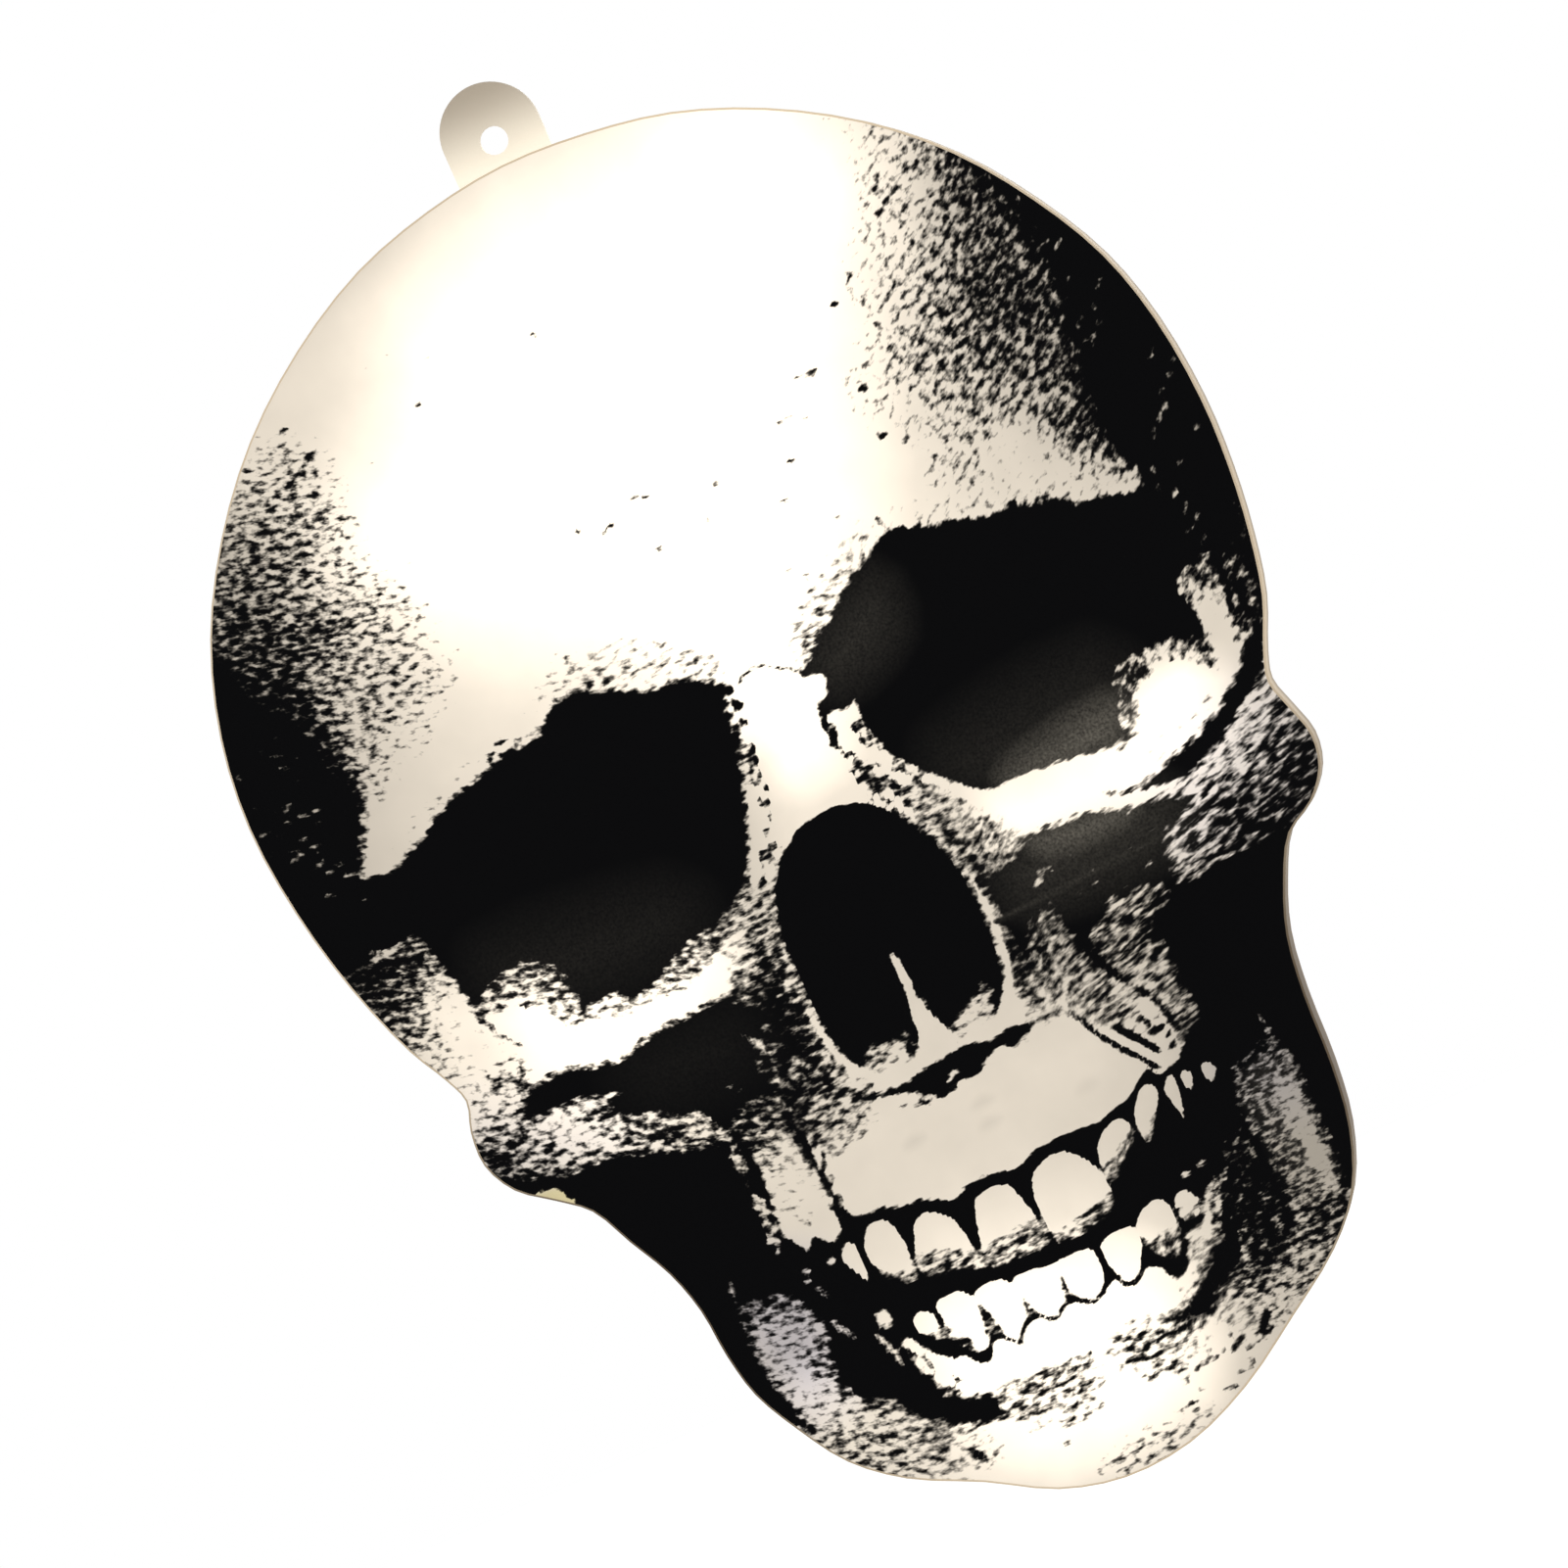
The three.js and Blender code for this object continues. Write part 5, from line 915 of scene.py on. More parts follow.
def paintCalm():
    # clean-edged parts: the sockets' rims, the nose, the bridge and the teeth
    patch(1, 1.5, [(-12, 156), (-2, 158), (12, 156), (24, 154), (36, 150), (42, 154), (38, 164), (30, 168),
        (26, 175), (20, 180), (6, 181), (-8, 180), (-14, 172), (-20, 160)], layer="calm")
    for edge in (
            [(-9, 163.3), (-4, 163.5), (0, 166), (0, 169), (-8, 167.3)],
            [(0.4, 165.8), (9, 165), (9.6, 169.6), (0.4, 169.6)],
            [(10, 168), (20, 166), (19.5, 169), (11, 170.4)],
            [(21, 173.6), (26.4, 173.4), (26, 177), (22, 177)],
            [(20, 162.5), (26, 159.3), (25, 162.5), (20, 165.2)],
            [(-14, 163.3), (-9, 164.6), (-9, 166.6), (-13, 166)]):
        patch(0.2, 0.5, edge, layer="calm")
    for tone, edge, points in (
            (1, 1.5, [(-2, 80), (9, 79), (11, 88), (10, 99), (14, 106), (12, 112), (-2, 112), (-4, 106), (-1, 98)]),
            (0.4, 1.5, [(-5, 139.5), (8, 139), (19, 139.5), (19, 143), (6, 146), (-5, 143)]),
            (1, 1.0, [(-5, 138.5), (-4.5, 133.5), (0, 132.5), (4, 130), (5.5, 124), (7, 130), (9, 134), (13, 132.5),
                (17, 131.5), (18, 136), (14, 138.5)]),
            (0.7, 1.0, [(62.8, 97), (66.5, 97), (67, 103), (65, 107), (61, 109), (63, 103)]),
            (0.5, 1.2, [(-53.5, 104), (-51.5, 104), (-50, 110), (-48, 116), (-52, 116), (-54.5, 110)]),
            (0.75, 1.5, [(-60, 86), (-44, 80), (-24, 73), (-16, 74), (-2, 79), (-3, 90), (-30, 96), (-52, 96)]),
            (0.75, 1.5, [(11, 84), (24, 73), (30, 69.5), (50, 75), (62, 79), (60, 92), (30, 96), (14, 98)]),
            (0.5, 1.5, [(14, 96), (28, 104), (46, 106), (46, 112), (28, 111), (18, 104)]),
            (0.6, 1.5, [(-24, 140), (-15, 140), (-14, 157), (-25, 157)]),
            (0.6, 2.5, [(41, 157), (49, 156), (50.5, 168), (50, 180), (43, 181), (41, 170)]),
            (0.4, 2.5, [(-33, 162), (-28, 161), (-25, 165), (-25, 178), (-29, 179), (-32, 172)]),
            (1, 0.8, [(25, 143.5), (28.5, 145.3), (31, 145.3), (33, 143.5), (35.5, 144.5), (37.3, 148.5),
                (37.5, 151.5), (34, 154), (31.5, 153)])):
        patch(tone, edge, points, "calm")


def paintLight():
    # whiter and dimmer places than the lamps alone give
    for tone, edge, points in (
            (1.45, 9, [(-25, 20), (0, 8), (30, 18), (33, 36), (30, 54), (22, 72), (12, 84), (0, 82), (-12, 68),
                (-26, 60), (-34, 46), (-34, 28)]),
            (1.4, 4, [(0, 78), (10, 80), (11, 95), (1, 96)]),
            (1.4, 5, [(-48, 108), (-30, 113), (-15, 110), (-16, 118), (-34, 121), (-48, 120)]),
            (1.0, 5, [(-58, 104), (-50, 104), (-48, 112), (-48, 122), (-55, 122)]),
            (1.4, 4, [(26, 110), (40, 111), (50, 103), (60, 103), (58, 113), (44, 117), (28, 117)]),
            (1.4, 5, [(-8, 172), (14, 172), (22, 180), (20, 196), (0, 197), (-9, 186)]),
            (0.8, 9, [(-52, 22), (-42, 14), (-32, 15), (-28, 24), (-34, 32), (-50, 34)]),
            (0.76, 8, [(-14, 140), (25, 140), (28, 150), (20, 154), (-14, 154)])):
        patch(tone, edge, points, "light")
    for x, d in ((-2, 148.6), (8.8, 147.4), (8.6, 150.5), (22.6, 151.3)):
        patch(0.66, 0.8, [(x - 1.5, d + 0.3), (x, d - 0.6), (x + 1.5, d + 0.1), (x, d + 0.7)], layer="light")
    for tone, edge, points in (
            (0.38, 5, [(42, 154), (54, 154), (53, 172), (48, 182), (40, 180)]),
            (0.55, 4, [(-36, 157), (-24, 157), (-23, 170), (-34, 172)]),
            (0.88, 4, [(-32, 174), (-24, 174), (-18, 184), (-28, 186)]),
            (0.6, 4, [(37, 181), (48, 179), (45, 188), (38, 190)]),
            (0.62, 5, [(-8, 94), (-2, 94), (-6, 112), (-12, 112)]),
            (0.74, 3, [(48, 99), (60, 99.5), (61.5, 91), (69, 91), (69, 104), (62, 105), (57, 102.5), (48, 104)]),
            (0.5, 6, [(-70, 30), (-55, 30), (-52, 50), (-70, 56)]),
            (0.5, 6, [(54, 30), (66, 40), (66, 66), (54, 62)])):
        patch(tone, edge, points, "light")
    # painted light: a cooler tint where less lamp light comes through
    for tone, edge, points in (
            (0.6, 5, [(40, 154), (50, 152), (50, 164), (42, 164)]),
            (0.9, 5, [(-36, 158), (-22, 158), (-22, 174), (-32, 176)]),
            (0.4, 5, [(48, 116), (70, 108), (72, 124), (60, 132), (46, 130)]),
            (0.3, 5, [(-60, 118), (-40, 126), (-36, 134), (-56, 134)])):
        patch(tone, edge, points, "lilac")
    for tone, edge, points in (
            (0.3, 7, [(24, 102), (46, 99), (47, 107), (44, 110), (28, 109)]),
            (1.9, 3, [(31, 107.5), (46, 104.5), (47, 108), (44, 110.5), (32, 109.5)]),
            (0.4, 4, [(12, 82), (24, 76), (24, 84), (14, 88)]),
            (0.45, 4, [(26, 118), (48, 118), (47, 126), (26, 126)]),
            (1.8, 1.8, [(30, 117), (44, 118.5), (40, 120.5), (31, 120)]),
            (0.3, 1.5, [(42.5, 160), (48, 159), (48.3, 168), (48, 176), (44, 177), (42.5, 168)])):
        patch(tone, edge, points, "leak")
    stroke(0.65, 0.4, [(20, 125.7), (30, 125.2), (46, 124.3)], layer="leak")
    patch(0.2, 6, [(-45, 102), (-20, 104), (-20, 111), (-40, 111)], layer="leak")
    patch(0.1, 5, [(-34, 122), (-18, 122), (-18, 130), (-32, 130)], layer="leak")


for paint in (paintTemples, paintLeftSocket, paintRightSocket, paintBridge, paintLeftCheek, paintRightCheek,
              paintNose, paintTeeth, paintJaw, paintSpecks, paintEdges, paintCalm, paintLight):
    paint()
    print(paint.__name__, "done")


printLook = {
    # brush marks by zone: degrees up to the right, mm along a mark and mm across it
    "marks": {"middle": (3, 1.8, 0.8), "leftSide": (-14, 1.6, 0.8), "rightTemple": (35, 1.6, 0.85),
              "rightCheek": (15, 2.3, 0.75), "rightJaw": (4, 1.5, 0.7)},
    # where a zone's marks take over from the middle's: from and to x, then from and to down, in mm
    "zones": {"leftSide": ((-10, -22),), "rightTemple": ((16, 28),), "rightCheek": ((24, 30), (104, 110)),
              "rightJaw": ((28, 32), (148, 154))},
    "grainDepth": 3.1,  # how deep the marks bite into the ink's soft edges, and the same where it is calm
    "calmDepth": 0.8,
    "inkSoftness": 0.14,
    "rimPower": 2.2,  # raised so that half-covered rims look half grey
    "noiseSpread": 0.217,  # makes a tone of ink cover that share of the noise
    "paperShare": 0.5,  # how much of the painted light goes into the paper's base colour, the rest into its glow from behind
    "clouding": (0.93, 1.07),  # times the light
    "roughness": (0.5, 0.62),
    "inkRelief": 0.02,  # mm
    "cream": "#FFF3E1",
    "lilac": "#F3EBED",
    "golden": "#F0E2B2",
    "ink": "#050506",
    "inkGlow": "#57534B",
}


def keepLayers(data):
    # the ink layer is kept as log odds, so noise added to it keeps each tone's share of black
    kept = dict(layers)
    share = np.clip(kept.pop("ink"), 1e-4, 1 - 1e-4)
    kept["inkLevel"] = printLook["noiseSpread"] * np.log(share / (1 - share))
    for zone, limits in printLook["zones"].items():
        kept[zone] = math.prod(np.clip((place - start) / (end - start), 0, 1)
                               for place, (start, end) in zip((spotX, spotD), limits))
    for name, values in kept.items():
        data.attributes.new(name, "FLOAT", "POINT").data.foreach_set("value", values.astype(np.float32))
    return kept


def screenPrintedFilm(kept):
    # polyester film, screen printed: satin black that keeps a trace of the light behind it, on a lit cream ground
    look = printLook
    material, shader, node, place = newMaterial("polyesterFilmScreenPrinted", {
        "Roughness": 0.55, "Specular IOR Level": 0.018, "IOR": 1.57, "Emission Strength": 1.0})
    layer = {name: node("Attribute", output="Fac", attribute_name=name) for name in kept}
    grain = None
    for zone, (slope, length, width) in look["marks"].items():
        along = node("Mapping", {"Vector": place, "Rotation": (0, -math.radians(slope), 0),
                                 "Scale": (length * mm, 1, width * mm)}, vector_type="TEXTURE")
        marks = node("TexNoise", {"Vector": along, "Scale": 1.0, "Detail": 2.0, "Roughness": 0.5})
        grain = marks if grain is None else node("Mix", {0: layer[zone], 2: grain, 3: marks})
    depth = node("MapRange", {"Value": layer["calm"], "To Min": look["grainDepth"], "To Max": look["calmDepth"]})
    centred = node("Math", {0: grain, 1: 0.5}, operation="SUBTRACT")
    share = node("Math", {0: layer["inkLevel"], 1: depth}, operation="DIVIDE")
    level = node("Math", {0: centred, 1: share}, operation="ADD")
    bare = node("MapRange", {"Value": level, "From Min": look["inkSoftness"], "From Max": -look["inkSoftness"]},
                interpolation_type="SMOOTHSTEP")
    bare = node("Math", {0: bare, 1: look["rimPower"]}, operation="POWER")
    ink = node("Math", {0: 1.0, 1: bare}, operation="SUBTRACT")

    tint = linear(look["cream"])
    # the paper turns lilac where the painted light is dim
    for shade in ("lilac", "golden"):
        tint = node("Mix", {0: layer[shade], 6: tint, 7: linear(look[shade])}, 2, data_type="RGBA")
    # moulded wall behind the film: faint clouding of the painted light, about 6 mm across
    cloud = node("TexNoise", {"Vector": place, "Scale": 160.0, "Detail": 2.0})
    cloudy = node("MapRange", {"Value": cloud, "To Min": look["clouding"][0], "To Max": look["clouding"][1]})
    # painted light and shade: the light layer sets the paper's base colour as well as its glow, darker where it is
    # dim
    lit = node("Math", {0: layer["light"], 1: cloudy}, operation="MULTIPLY")
    plain = node("Math", {0: lit, 1: 1.0}, operation="MINIMUM")
    plain = node("Math", {0: plain, 1: look["paperShare"]}, operation="MULTIPLY")
    extra = node("Math", {0: lit, 1: plain}, operation="SUBTRACT")
    paper = node("VectorMath", {0: tint, "Scale": plain}, operation="SCALE")
    paperGlow = node("VectorMath", {0: tint, "Scale": extra}, operation="SCALE")

    # woven mesh of the print screen, drawn at 0.35 mm so that it shows where light leaks through the black
    weave = node("TexNoise", {"Vector": place, "Scale": 2800.0, "Detail": 1.0})
    through = node("Math", {0: weave, 1: layer["leak"]}, operation="MULTIPLY")
    inkGlow = node("VectorMath", {0: linear(look["inkGlow"])[:3], "Scale": through}, operation="SCALE")
    connect(shader, {
        "Base Color": node("Mix", {0: ink, 6: paper, 7: linear(look["ink"])}, 2, data_type="RGBA"),
        "Emission Color": node("Mix", {0: ink, 6: paperGlow, 7: inkGlow}, 2, data_type="RGBA"),
        "Roughness": node("MapRange", {
            "Value": weave, "To Min": look["roughness"][0], "To Max": look["roughness"][1]}),
        "Normal": node("Bump", {"Height": ink, "Distance": look["inkRelief"] * mm, "Strength": 0.3}),
    })
    return material


def dress(piece, material, body, node=None):
    piece.data.materials.clear()
    piece.data.materials.append(material)
    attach(piece, body)
    if node:
        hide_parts(node)


dress(film, screenPrintedFilm(keepLayers(film.data)), "case", "printed_face")
print("face printed")


# the shells' plastic: colours, light that comes through, and heights or reaches in metres between which a shade fades
shellLook = {
    "front": {"colour": "#C6B8A3", "deep": "#B5A48D", "glow": "#EBD3AC", "glowReach": 24.0, "glowLevel": 0.24,
              "roughness": 0.6, "specular": 0.12},
    "rear": {"colour": "#E8E4DA", "deep": "#E0DACC", "glow": "#F5E3C2", "glowReach": 15.0, "glowLevel": 0.13,
             "roughness": 0.55, "specular": 0.3},
    "door": {"colour": "#E5E1D7", "deep": "#DDD7CA", "glow": "#F5E3C2", "glowReach": 15.0, "glowLevel": 0.02,
             "roughness": 0.55, "specular": 0.3},
    # painted shade: browner and dimmer beside the jaws, where less lamp light reaches
    "jaw": {"colour": "#5C4E3D", "starts": (-0.1, -0.15), "ends": (-0.198, -0.165), "dim": 0.12},
    # painted shade: browner and dimmer along the skirt's back edge, where less lamp light reaches
    "backShade": {"colour": "#6F5F48", "depth": (-0.012, -0.001), "share": 0.65},
    # the hang tab: painted shade greys its top and a painted glow lights its root
    "tab": {"colour": "#9E9384", "shade": (-0.009, 0.0085), "glow": "#FFF4DC", "fade": (0.0085, -0.011),
            "level": (0.02, 0.7), "reach": (0.018, 0.009), "root": (-0.009, -0.003)},
}


def mouldedPolystyrene(name, look):
    # opal polystyrene, injection moulded: an even milky skin with faint flow lines, and a painted glow from the lamps
    # inside, warmer where a lamp is near
    material, shader, node, place = newMaterial(name, {
        "Roughness": look["roughness"], "Specular IOR Level": look["specular"],
        "IOR": 1.59, "Emission Strength": 1.0})
    flow = node("Mapping", {"Vector": place, "Scale": (0.06, 0.05, 0.05)}, vector_type="TEXTURE")
    lines = node("TexNoise", {"Vector": flow, "Scale": 1.0, "Detail": 2.0, "Distortion": 0.3})
    base = node("Mix", {0: lines, 6: linear(look["colour"]), 7: linear(look["deep"])}, 2, data_type="RGBA")
    spots = shellGlow(node, place, look["glowReach"] * mm)
    level = node("Math", {0: spots, 1: look["glowLevel"]}, operation="MULTIPLY")
    glow = node("VectorMath", {0: linear(look["glow"])[:3], "Scale": level}, operation="SCALE")
    # spark-eroded mould finish, 0.4 mm pits
    pits = node("TexNoise", {"Vector": place, "Scale": 2500.0, "Detail": 2.0})
    connect(shader, {
        "Base Color": base,
        "Emission Color": glow,
        "Roughness": node("MapRange", {
            "Value": pits, "To Min": look["roughness"] - 0.08, "To Max": look["roughness"] + 0.1}),
        "Normal": node("Bump", {"Height": pits, "Distance": 0.00003, "Strength": 0.5}),
    })
    return material, shader, node, place, base, glow


def fading(value, limits, **more):
    # what a node needs to fade smoothly from 0 to 1 between two values
    return {"Value": value, "From Min": limits[0], "From Max": limits[1], **more}


def frontPlastic():
    # less light reaches the skirt beside the jaws and along its back edge, so it is browner there
    jaw, backShadeLook = shellLook["jaw"], shellLook["backShade"]
    material, shader, node, place, base, glow = mouldedPolystyrene("opalPolystyreneMoulded", shellLook["front"])
    places = node("SeparateXYZ", {"Vector": place}).node.outputs
    under = node("MapRange", fading(places["Z"], jaw["starts"]), interpolation_type="SMOOTHSTEP")
    over = node("MapRange", fading(places["Z"], jaw["ends"]), interpolation_type="SMOOTHSTEP")
    beside = node("Math", {0: under, 1: over}, operation="MULTIPLY")
    # painted shade towards the skirt's back edge
    backShade = fading(places["Y"], backShadeLook["depth"], **{"To Max": backShadeLook["share"]})
    backShade = node("MapRange", backShade, interpolation_type="SMOOTHSTEP")
    dims = (node("MapRange", {"Value": beside, "To Min": 1.0, "To Max": jaw["dim"]}),
            node("Math", {0: 1.0, 1: backShade}, operation="SUBTRACT"))
    for share, colour, dim in zip((beside, backShade), (jaw["colour"], backShadeLook["colour"]), dims):
        base = node("Mix", {0: share, 6: base, 7: linear(colour)}, 2, data_type="RGBA")
        glow = node("VectorMath", {0: glow, "Scale": dim}, operation="SCALE")
    connect(shader, {"Base Color": base, "Emission Color": glow})
    return material


def rearPlastic():
    # the same opal plastic with a frosted skin. Its hang tab takes light from below, so it fades upwards
    tab = shellLook["tab"]
    material, shader, node, place, base, glow = mouldedPolystyrene("opalPolystyreneFrosted", shellLook["rear"])
    height = node("SeparateXYZ", {"Vector": place}, "Z")
    reach = node("VectorMath", {0: place}, 1, operation="LENGTH")
    low, high = tab["level"]
    share = node("MapRange", fading(height, tab["fade"], **{"To Min": low, "To Max": high}),
                 interpolation_type="SMOOTHSTEP")
    for value, limits in ((reach, tab["reach"]), (height, tab["root"])):
        here = node("MapRange", fading(value, limits), interpolation_type="SMOOTHSTEP")
        share = node("Math", {0: share, 1: here}, operation="MULTIPLY")
    tabGlow = node("VectorMath", {0: linear(tab["glow"])[:3], "Scale": share}, operation="SCALE")
    # painted shade: the tab turns greyer towards its top
    dark = node("MapRange", fading(height, tab["shade"]), interpolation_type="SMOOTHSTEP")
    connect(shader, {
        "Base Color": node("Mix", {0: dark, 6: base, 7: linear(tab["colour"])}, 2, data_type="RGBA"),
        "Emission Color": node("VectorMath", {0: glow, 1: tabGlow}, operation="ADD"),
    })
    return material


def doorPlastic():
    # the same opal plastic again. Hardly any of the lamps' light reaches it
    return mouldedPolystyrene("opalDoorPolystyrene", shellLook["door"])[0]


dress(mergedCopy("front_cover", "front_cover_shell"), frontPlastic(), "case", "front_cover")
rearPlate = mergedCopy("rear_cover", "rear_cover_plate")
dress(rearPlate, rearPlastic(), "case", "rear_cover")
dress(mergedCopy("battery_door", "battery_door_lid"), doorPlastic(), "door", "battery_door")
print("shells dressed")


switchMarks = {
    "size": 2.8,  # mm, and so are the next three
    "depth": 0.2,
    "cutAbove": 0.3,
    "inkBelow": 0.03,
    "ink": "#4A4742",
    "mottle": "#6A665F",
    "places": {"ON": -98.4, "OFF": -113.4},
}


def makeWord(word, height, front, back):
    # letters beside the switch's slot, read from behind
    low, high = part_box("switch_slider")
    bpy.ops.object.text_add(location=((low.x + high.x) / 2, (front + back) / 2 * mm, height * mm),
                            rotation=(math.radians(90), 0, math.radians(180)))
    letters = bpy.context.object
    letters.data.body = word
    letters.data.align_x = letters.data.align_y = "CENTER"
    letters.data.size = switchMarks["size"] * mm
    letters.data.extrude = (back - front) / 2 * mm
    bpy.ops.object.convert(target="MESH")
    bpy.ops.object.transform_apply(location=True, rotation=True, scale=True)
    editAll()
    bpy.ops.mesh.remove_doubles(threshold=mergeDistance)
    bpy.ops.mesh.normals_make_consistent(inside=False)
    objectMode()
    letters.name = f"switch_mark_{word.lower()}"
    return letters


def sinkWord(plate, word, height, face):
    # cut the letters into the plate's back, then lay the ink in the pocket
    cutter = makeWord(word, height, face - switchMarks["depth"], face + switchMarks["cutAbove"])
    pickOnly(plate)
    cut = plate.modifiers.new("letters", "BOOLEAN")
    cut.operation = "DIFFERENCE"
    cut.solver = "EXACT"
    cut.object = cutter
    bpy.ops.object.modifier_apply(modifier=cut.name)
    pickOnly(cutter)
    bpy.ops.object.delete()
    return makeWord(word, height, face - switchMarks["depth"], face - switchMarks["inkBelow"])


def markInk():
    # pad-printed grey ink: matt, with a faint 0.3 mm mottle
    material, shader, node, place = newMaterial("padPrintedInk", {"Roughness": 0.6, "IOR": 1.5})
    mottle = node("TexNoise", {"Vector": place, "Scale": 3300.0, "Detail": 1.0})
    colours = {6: linear(switchMarks["ink"]), 7: linear(switchMarks["mottle"])}
    connect(shader, {"Base Color": node("Mix", {0: mottle, **colours}, 2, data_type="RGBA")})
    return material


printedInk = markInk()
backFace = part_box("rear_cover")[1].y / mm
for word, height in switchMarks["places"].items():
    dress(sinkWord(rearPlate, word, height, backFace), printedInk, "case")
bpy.context.view_layer.objects.active = rearPlate
rearPlate.select_set(True)
bpy.ops.object.shade_smooth_by_angle(angle=smoothAngle)
print("switch marks made")


def numbered(name, count):
    return [f"{name}_{k}" for k in range(1, count + 1)]


# Each skin has two close colours, a roughness, then the size of its clouds, its grain and its relief in mm with the
# stretch along X, what its shader starts from, and its pieces.
innerSkins = {
    # black ABS and nylon, moulded: fine matt texture that hides wear
    "absMouldedBlack": ("#2A2A2C", "#232325", 0.5, (12, 0.4, 0.03, 1), {"IOR": 1.54}, ["battery_box"]),
    "nylonMouldedBlack": ("#1F1F21", "#1A1A1C", 0.42, (6, 0.35, 0.02, 1), {"IOR": 1.53},
                          ["switch_body", "switch_slider"]),
    # moulded epoxy: nearly black, matt
    "epoxyMouldedChip": ("#1A1A1C", "#151517", 0.5, (3, 0.25, 0.01, 1), {"IOR": 1.55}, ["timer_chip"]),
    # fibreglass board under solder mask: the weave shows as a faint 0.6 mm texture
    "fibreglassGreenMask": ("#2B6A45", "#235C3B", 0.3, (5, 0.6, 0.01, 1), {"IOR": 1.5}, ["control_board"]),
    "fibreglassWhiteMask": ("#E9E8E2", "#DEDCD4", 0.3, (5, 0.6, 0.01, 1), {"IOR": 1.5}, numbered("led_board", 8)),
    # nickel-plated spring steel, stamped or wound: bright, with drawn streaks along X
    "springSteelNickelPlated": ("#C9CACB", "#B8B9BB", 0.25, (6, 0.3, 0.01, 4), {"Metallic": 1.0},
                                numbered("contact_plate", 4) + numbered("contact_spring", 3)),
    # zinc-plated steel, cold headed: greyer, with a faint bluish cloud
    "steelZincPlated": ("#A9ACB0", "#8F9398", 0.34, (1.5, 0.25, 0.01, 1), {"Metallic": 1.0},
                        numbered("case_screw", 6) + numbered("box_screw", 2) + ["door_screw"]),
    # PVC insulation, extruded: even satin colour with a fine grain
    "pvcExtrudedWhite": ("#DAD6CC", "#CFCABE", 0.4, (5, 0.4, 0.01, 1), {"IOR": 1.53}, numbered("led_wire", 8)),
    "pvcExtrudedRed": ("#A8291F", "#94221A", 0.4, (5, 0.4, 0.01, 1), {"IOR": 1.53},
                       ["feed_wire_red", "feed_wire_switch"]),
    "pvcExtrudedBlack": ("#1E1E20", "#171719", 0.4, (5, 0.4, 0.01, 1), {"IOR": 1.53}, ["feed_wire_black"]),
    # cast epoxy dome, lit: clear warm white that glows, faintly clouded
    "castEpoxyLit": ("#FFF6E0", "#FFEBC2", 0.2, (2, 0.5, 0.005, 1), {"IOR": 1.52, "Emission Strength": 0.9},
                     numbered("led_lamp", 8)),
    # shrunk film over a drawn steel can: glossy green. Each cell's bands lie at its own ends
    **{f"shrunkCellFilm{k}": ("#2F5D44", "#25503A", 0.3, (9, 0.5, 0.01, 1), {"IOR": 1.5, "Specular IOR Level": 0.5},
                              [f"battery_cell_{k}"]) for k in (1, 2, 3)},
    # tan lacquer over a ceramic rod, dipped: soft gloss
    "dippedResistorLacquer": ("#C8B184", "#BDA577", 0.35, (2, 0.3, 0.01, 1), {"IOR": 1.5}, ["resistor"]),
    # shrunk sleeve on an aluminium can: glossy dark blue
    "shrunkCapacitorSleeve": ("#26324F", "#202B45", 0.3, (4, 0.4, 0.01, 1), {"IOR": 1.5}, ["capacitor"]),
}
bandLook = {
    "cellBand": "#C9A24B",
    "cellBandShares": (0.62, 0.06),  # of the cell's length, from its two ends
    "bareSteel": "#C4C6C8",
    "bareEnds": (0.9, 1.5),  # mm, at the flat end and at the knob
    "resistorRings": {0.36: "#7A4A22", 0.46: "#1C1C1E", 0.56: "#B5561E", 0.66: "#B08A32"},
    "ringShare": 0.04,
    "capacitorStripe": "#B9BDC4",
    "stripeWidth": 0.9,
}
farOut = 1.0  # metres, past any end


def fineSkin(name, colour, deep, roughness, pattern, constants):
    # two close colours clouded at one size, with roughness and relief at a finer one
    cloudSize, grainSize, relief, stretch = pattern
    material, shader, node, place = newMaterial(name, constants)
    cloud, grain = (
        node("TexNoise", {"Scale": 1.0, "Detail": detail, "Vector": node("Mapping", {
            "Vector": place, "Scale": [s * size * mm for s in (stretch, 1, 1)]}, vector_type="TEXTURE")})
        for size, detail in ((cloudSize, 3.0), (grainSize, 2.0)))
    base = node("Mix", {0: cloud, 6: linear(colour), 7: linear(deep)}, 2, data_type="RGBA")
    connect(shader, {
        "Base Color": base,
        "Roughness": node("MapRange", {"Value": grain, "To Min": roughness - 0.08, "To Max": roughness + 0.12}),
        "Normal": node("Bump", {"Height": grain, "Distance": relief * mm, "Strength": 0.6}),
    })
    return material, shader, node, place, base


def banded(node, base, value, low, high, colour):
    # a band of another colour where a value lies between two limits
    above = node("Math", {0: value, 1: low}, operation="GREATER_THAN")
    below = node("Math", {0: value, 1: high}, operation="LESS_THAN")
    here = node("Math", {0: above, 1: below}, operation="MULTIPLY")
    return node("Mix", {0: here, 6: base, 7: linear(colour)}, 2, data_type="RGBA"), here


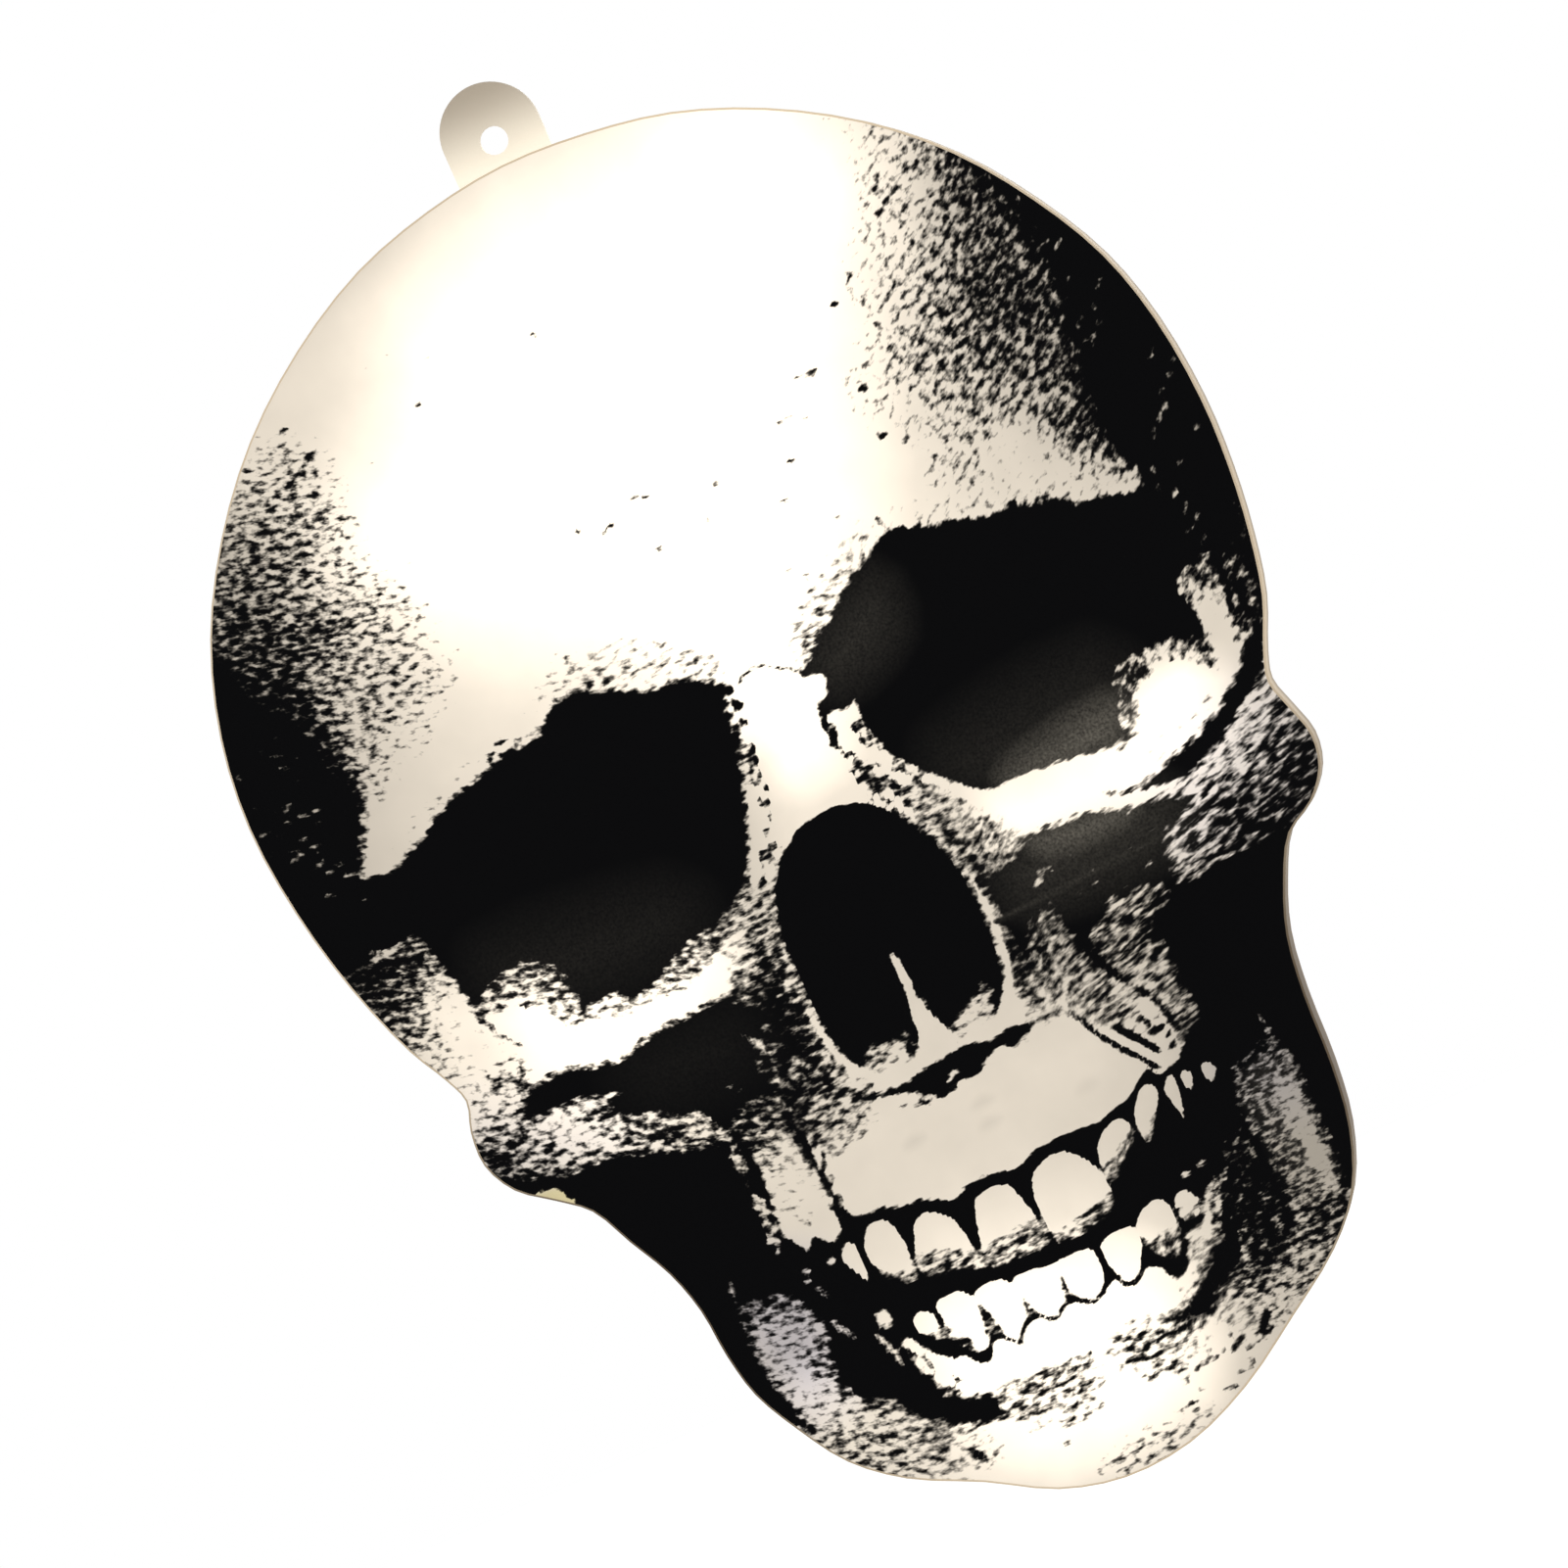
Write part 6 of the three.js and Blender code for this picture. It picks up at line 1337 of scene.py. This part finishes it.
def addCellBands(piece, shader, node, place, base):
    # a brass-coloured band nearer the knob, and bare nickel at both ends. The middle cell lies the other way round
    low, high = (corner.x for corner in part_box(piece))
    along = node("SeparateXYZ", {"Vector": place}, "X")
    knobLeft = piece.endswith("2")
    left, right = (share * (high - low) for share in bandLook["cellBandShares"][::-1 if knobLeft else 1])
    base = banded(node, base, along, low + left, high - right, bandLook["cellBand"])[0]
    leftBare, rightBare = (width * mm for width in bandLook["bareEnds"][::-1 if knobLeft else 1])
    base, leftEnd = banded(node, base, along, low - farOut, low + leftBare, bandLook["bareSteel"])
    base, rightEnd = banded(node, base, along, high - rightBare, high + farOut, bandLook["bareSteel"])
    connect(shader, {"Base Color": base, "Metallic": node("Math", {0: leftEnd, 1: rightEnd}, operation="MAXIMUM")})


def addResistorRings(piece, shader, node, place, base):
    low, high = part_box(piece)
    axis = 0 if high.x - low.x > high.z - low.z else 2
    start, reach = low[axis], high[axis] - low[axis]
    along = node("SeparateXYZ", {"Vector": place}, axis)
    for share, colour in bandLook["resistorRings"].items():
        end = start + (share + bandLook["ringShare"]) * reach
        base = banded(node, base, along, start + share * reach, end, colour)[0]
    connect(shader, {"Base Color": base})


def addSleeveStripe(piece, shader, node, place, base):
    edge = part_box(piece)[1].x
    side = node("SeparateXYZ", {"Vector": place}, "X")
    start = edge - bandLook["stripeWidth"] * mm
    base = banded(node, base, side, start, edge + farOut, bandLook["capacitorStripe"])[0]
    connect(shader, {"Base Color": base})


def addGlow(piece, shader, node, place, base):
    connect(shader, {"Emission Color": base})


finishes = {"shrunkCellFilm1": addCellBands, "shrunkCellFilm2": addCellBands, "shrunkCellFilm3": addCellBands,
            "dippedResistorLacquer": addResistorRings, "shrunkCapacitorSleeve": addSleeveStripe,
            "castEpoxyLit": addGlow}


def dressInside():
    for name, (colour, deep, roughness, pattern, constants, pieces) in innerSkins.items():
        material, *rest = fineSkin(name, colour, deep, roughness, pattern, constants)
        if name in finishes:
            finishes[name](pieces[0], *rest)
        for piece in pieces:
            data = nodes[piece].data
            data.materials.clear()
            data.materials.append(material)


dressInside()
print("inner pieces dressed")
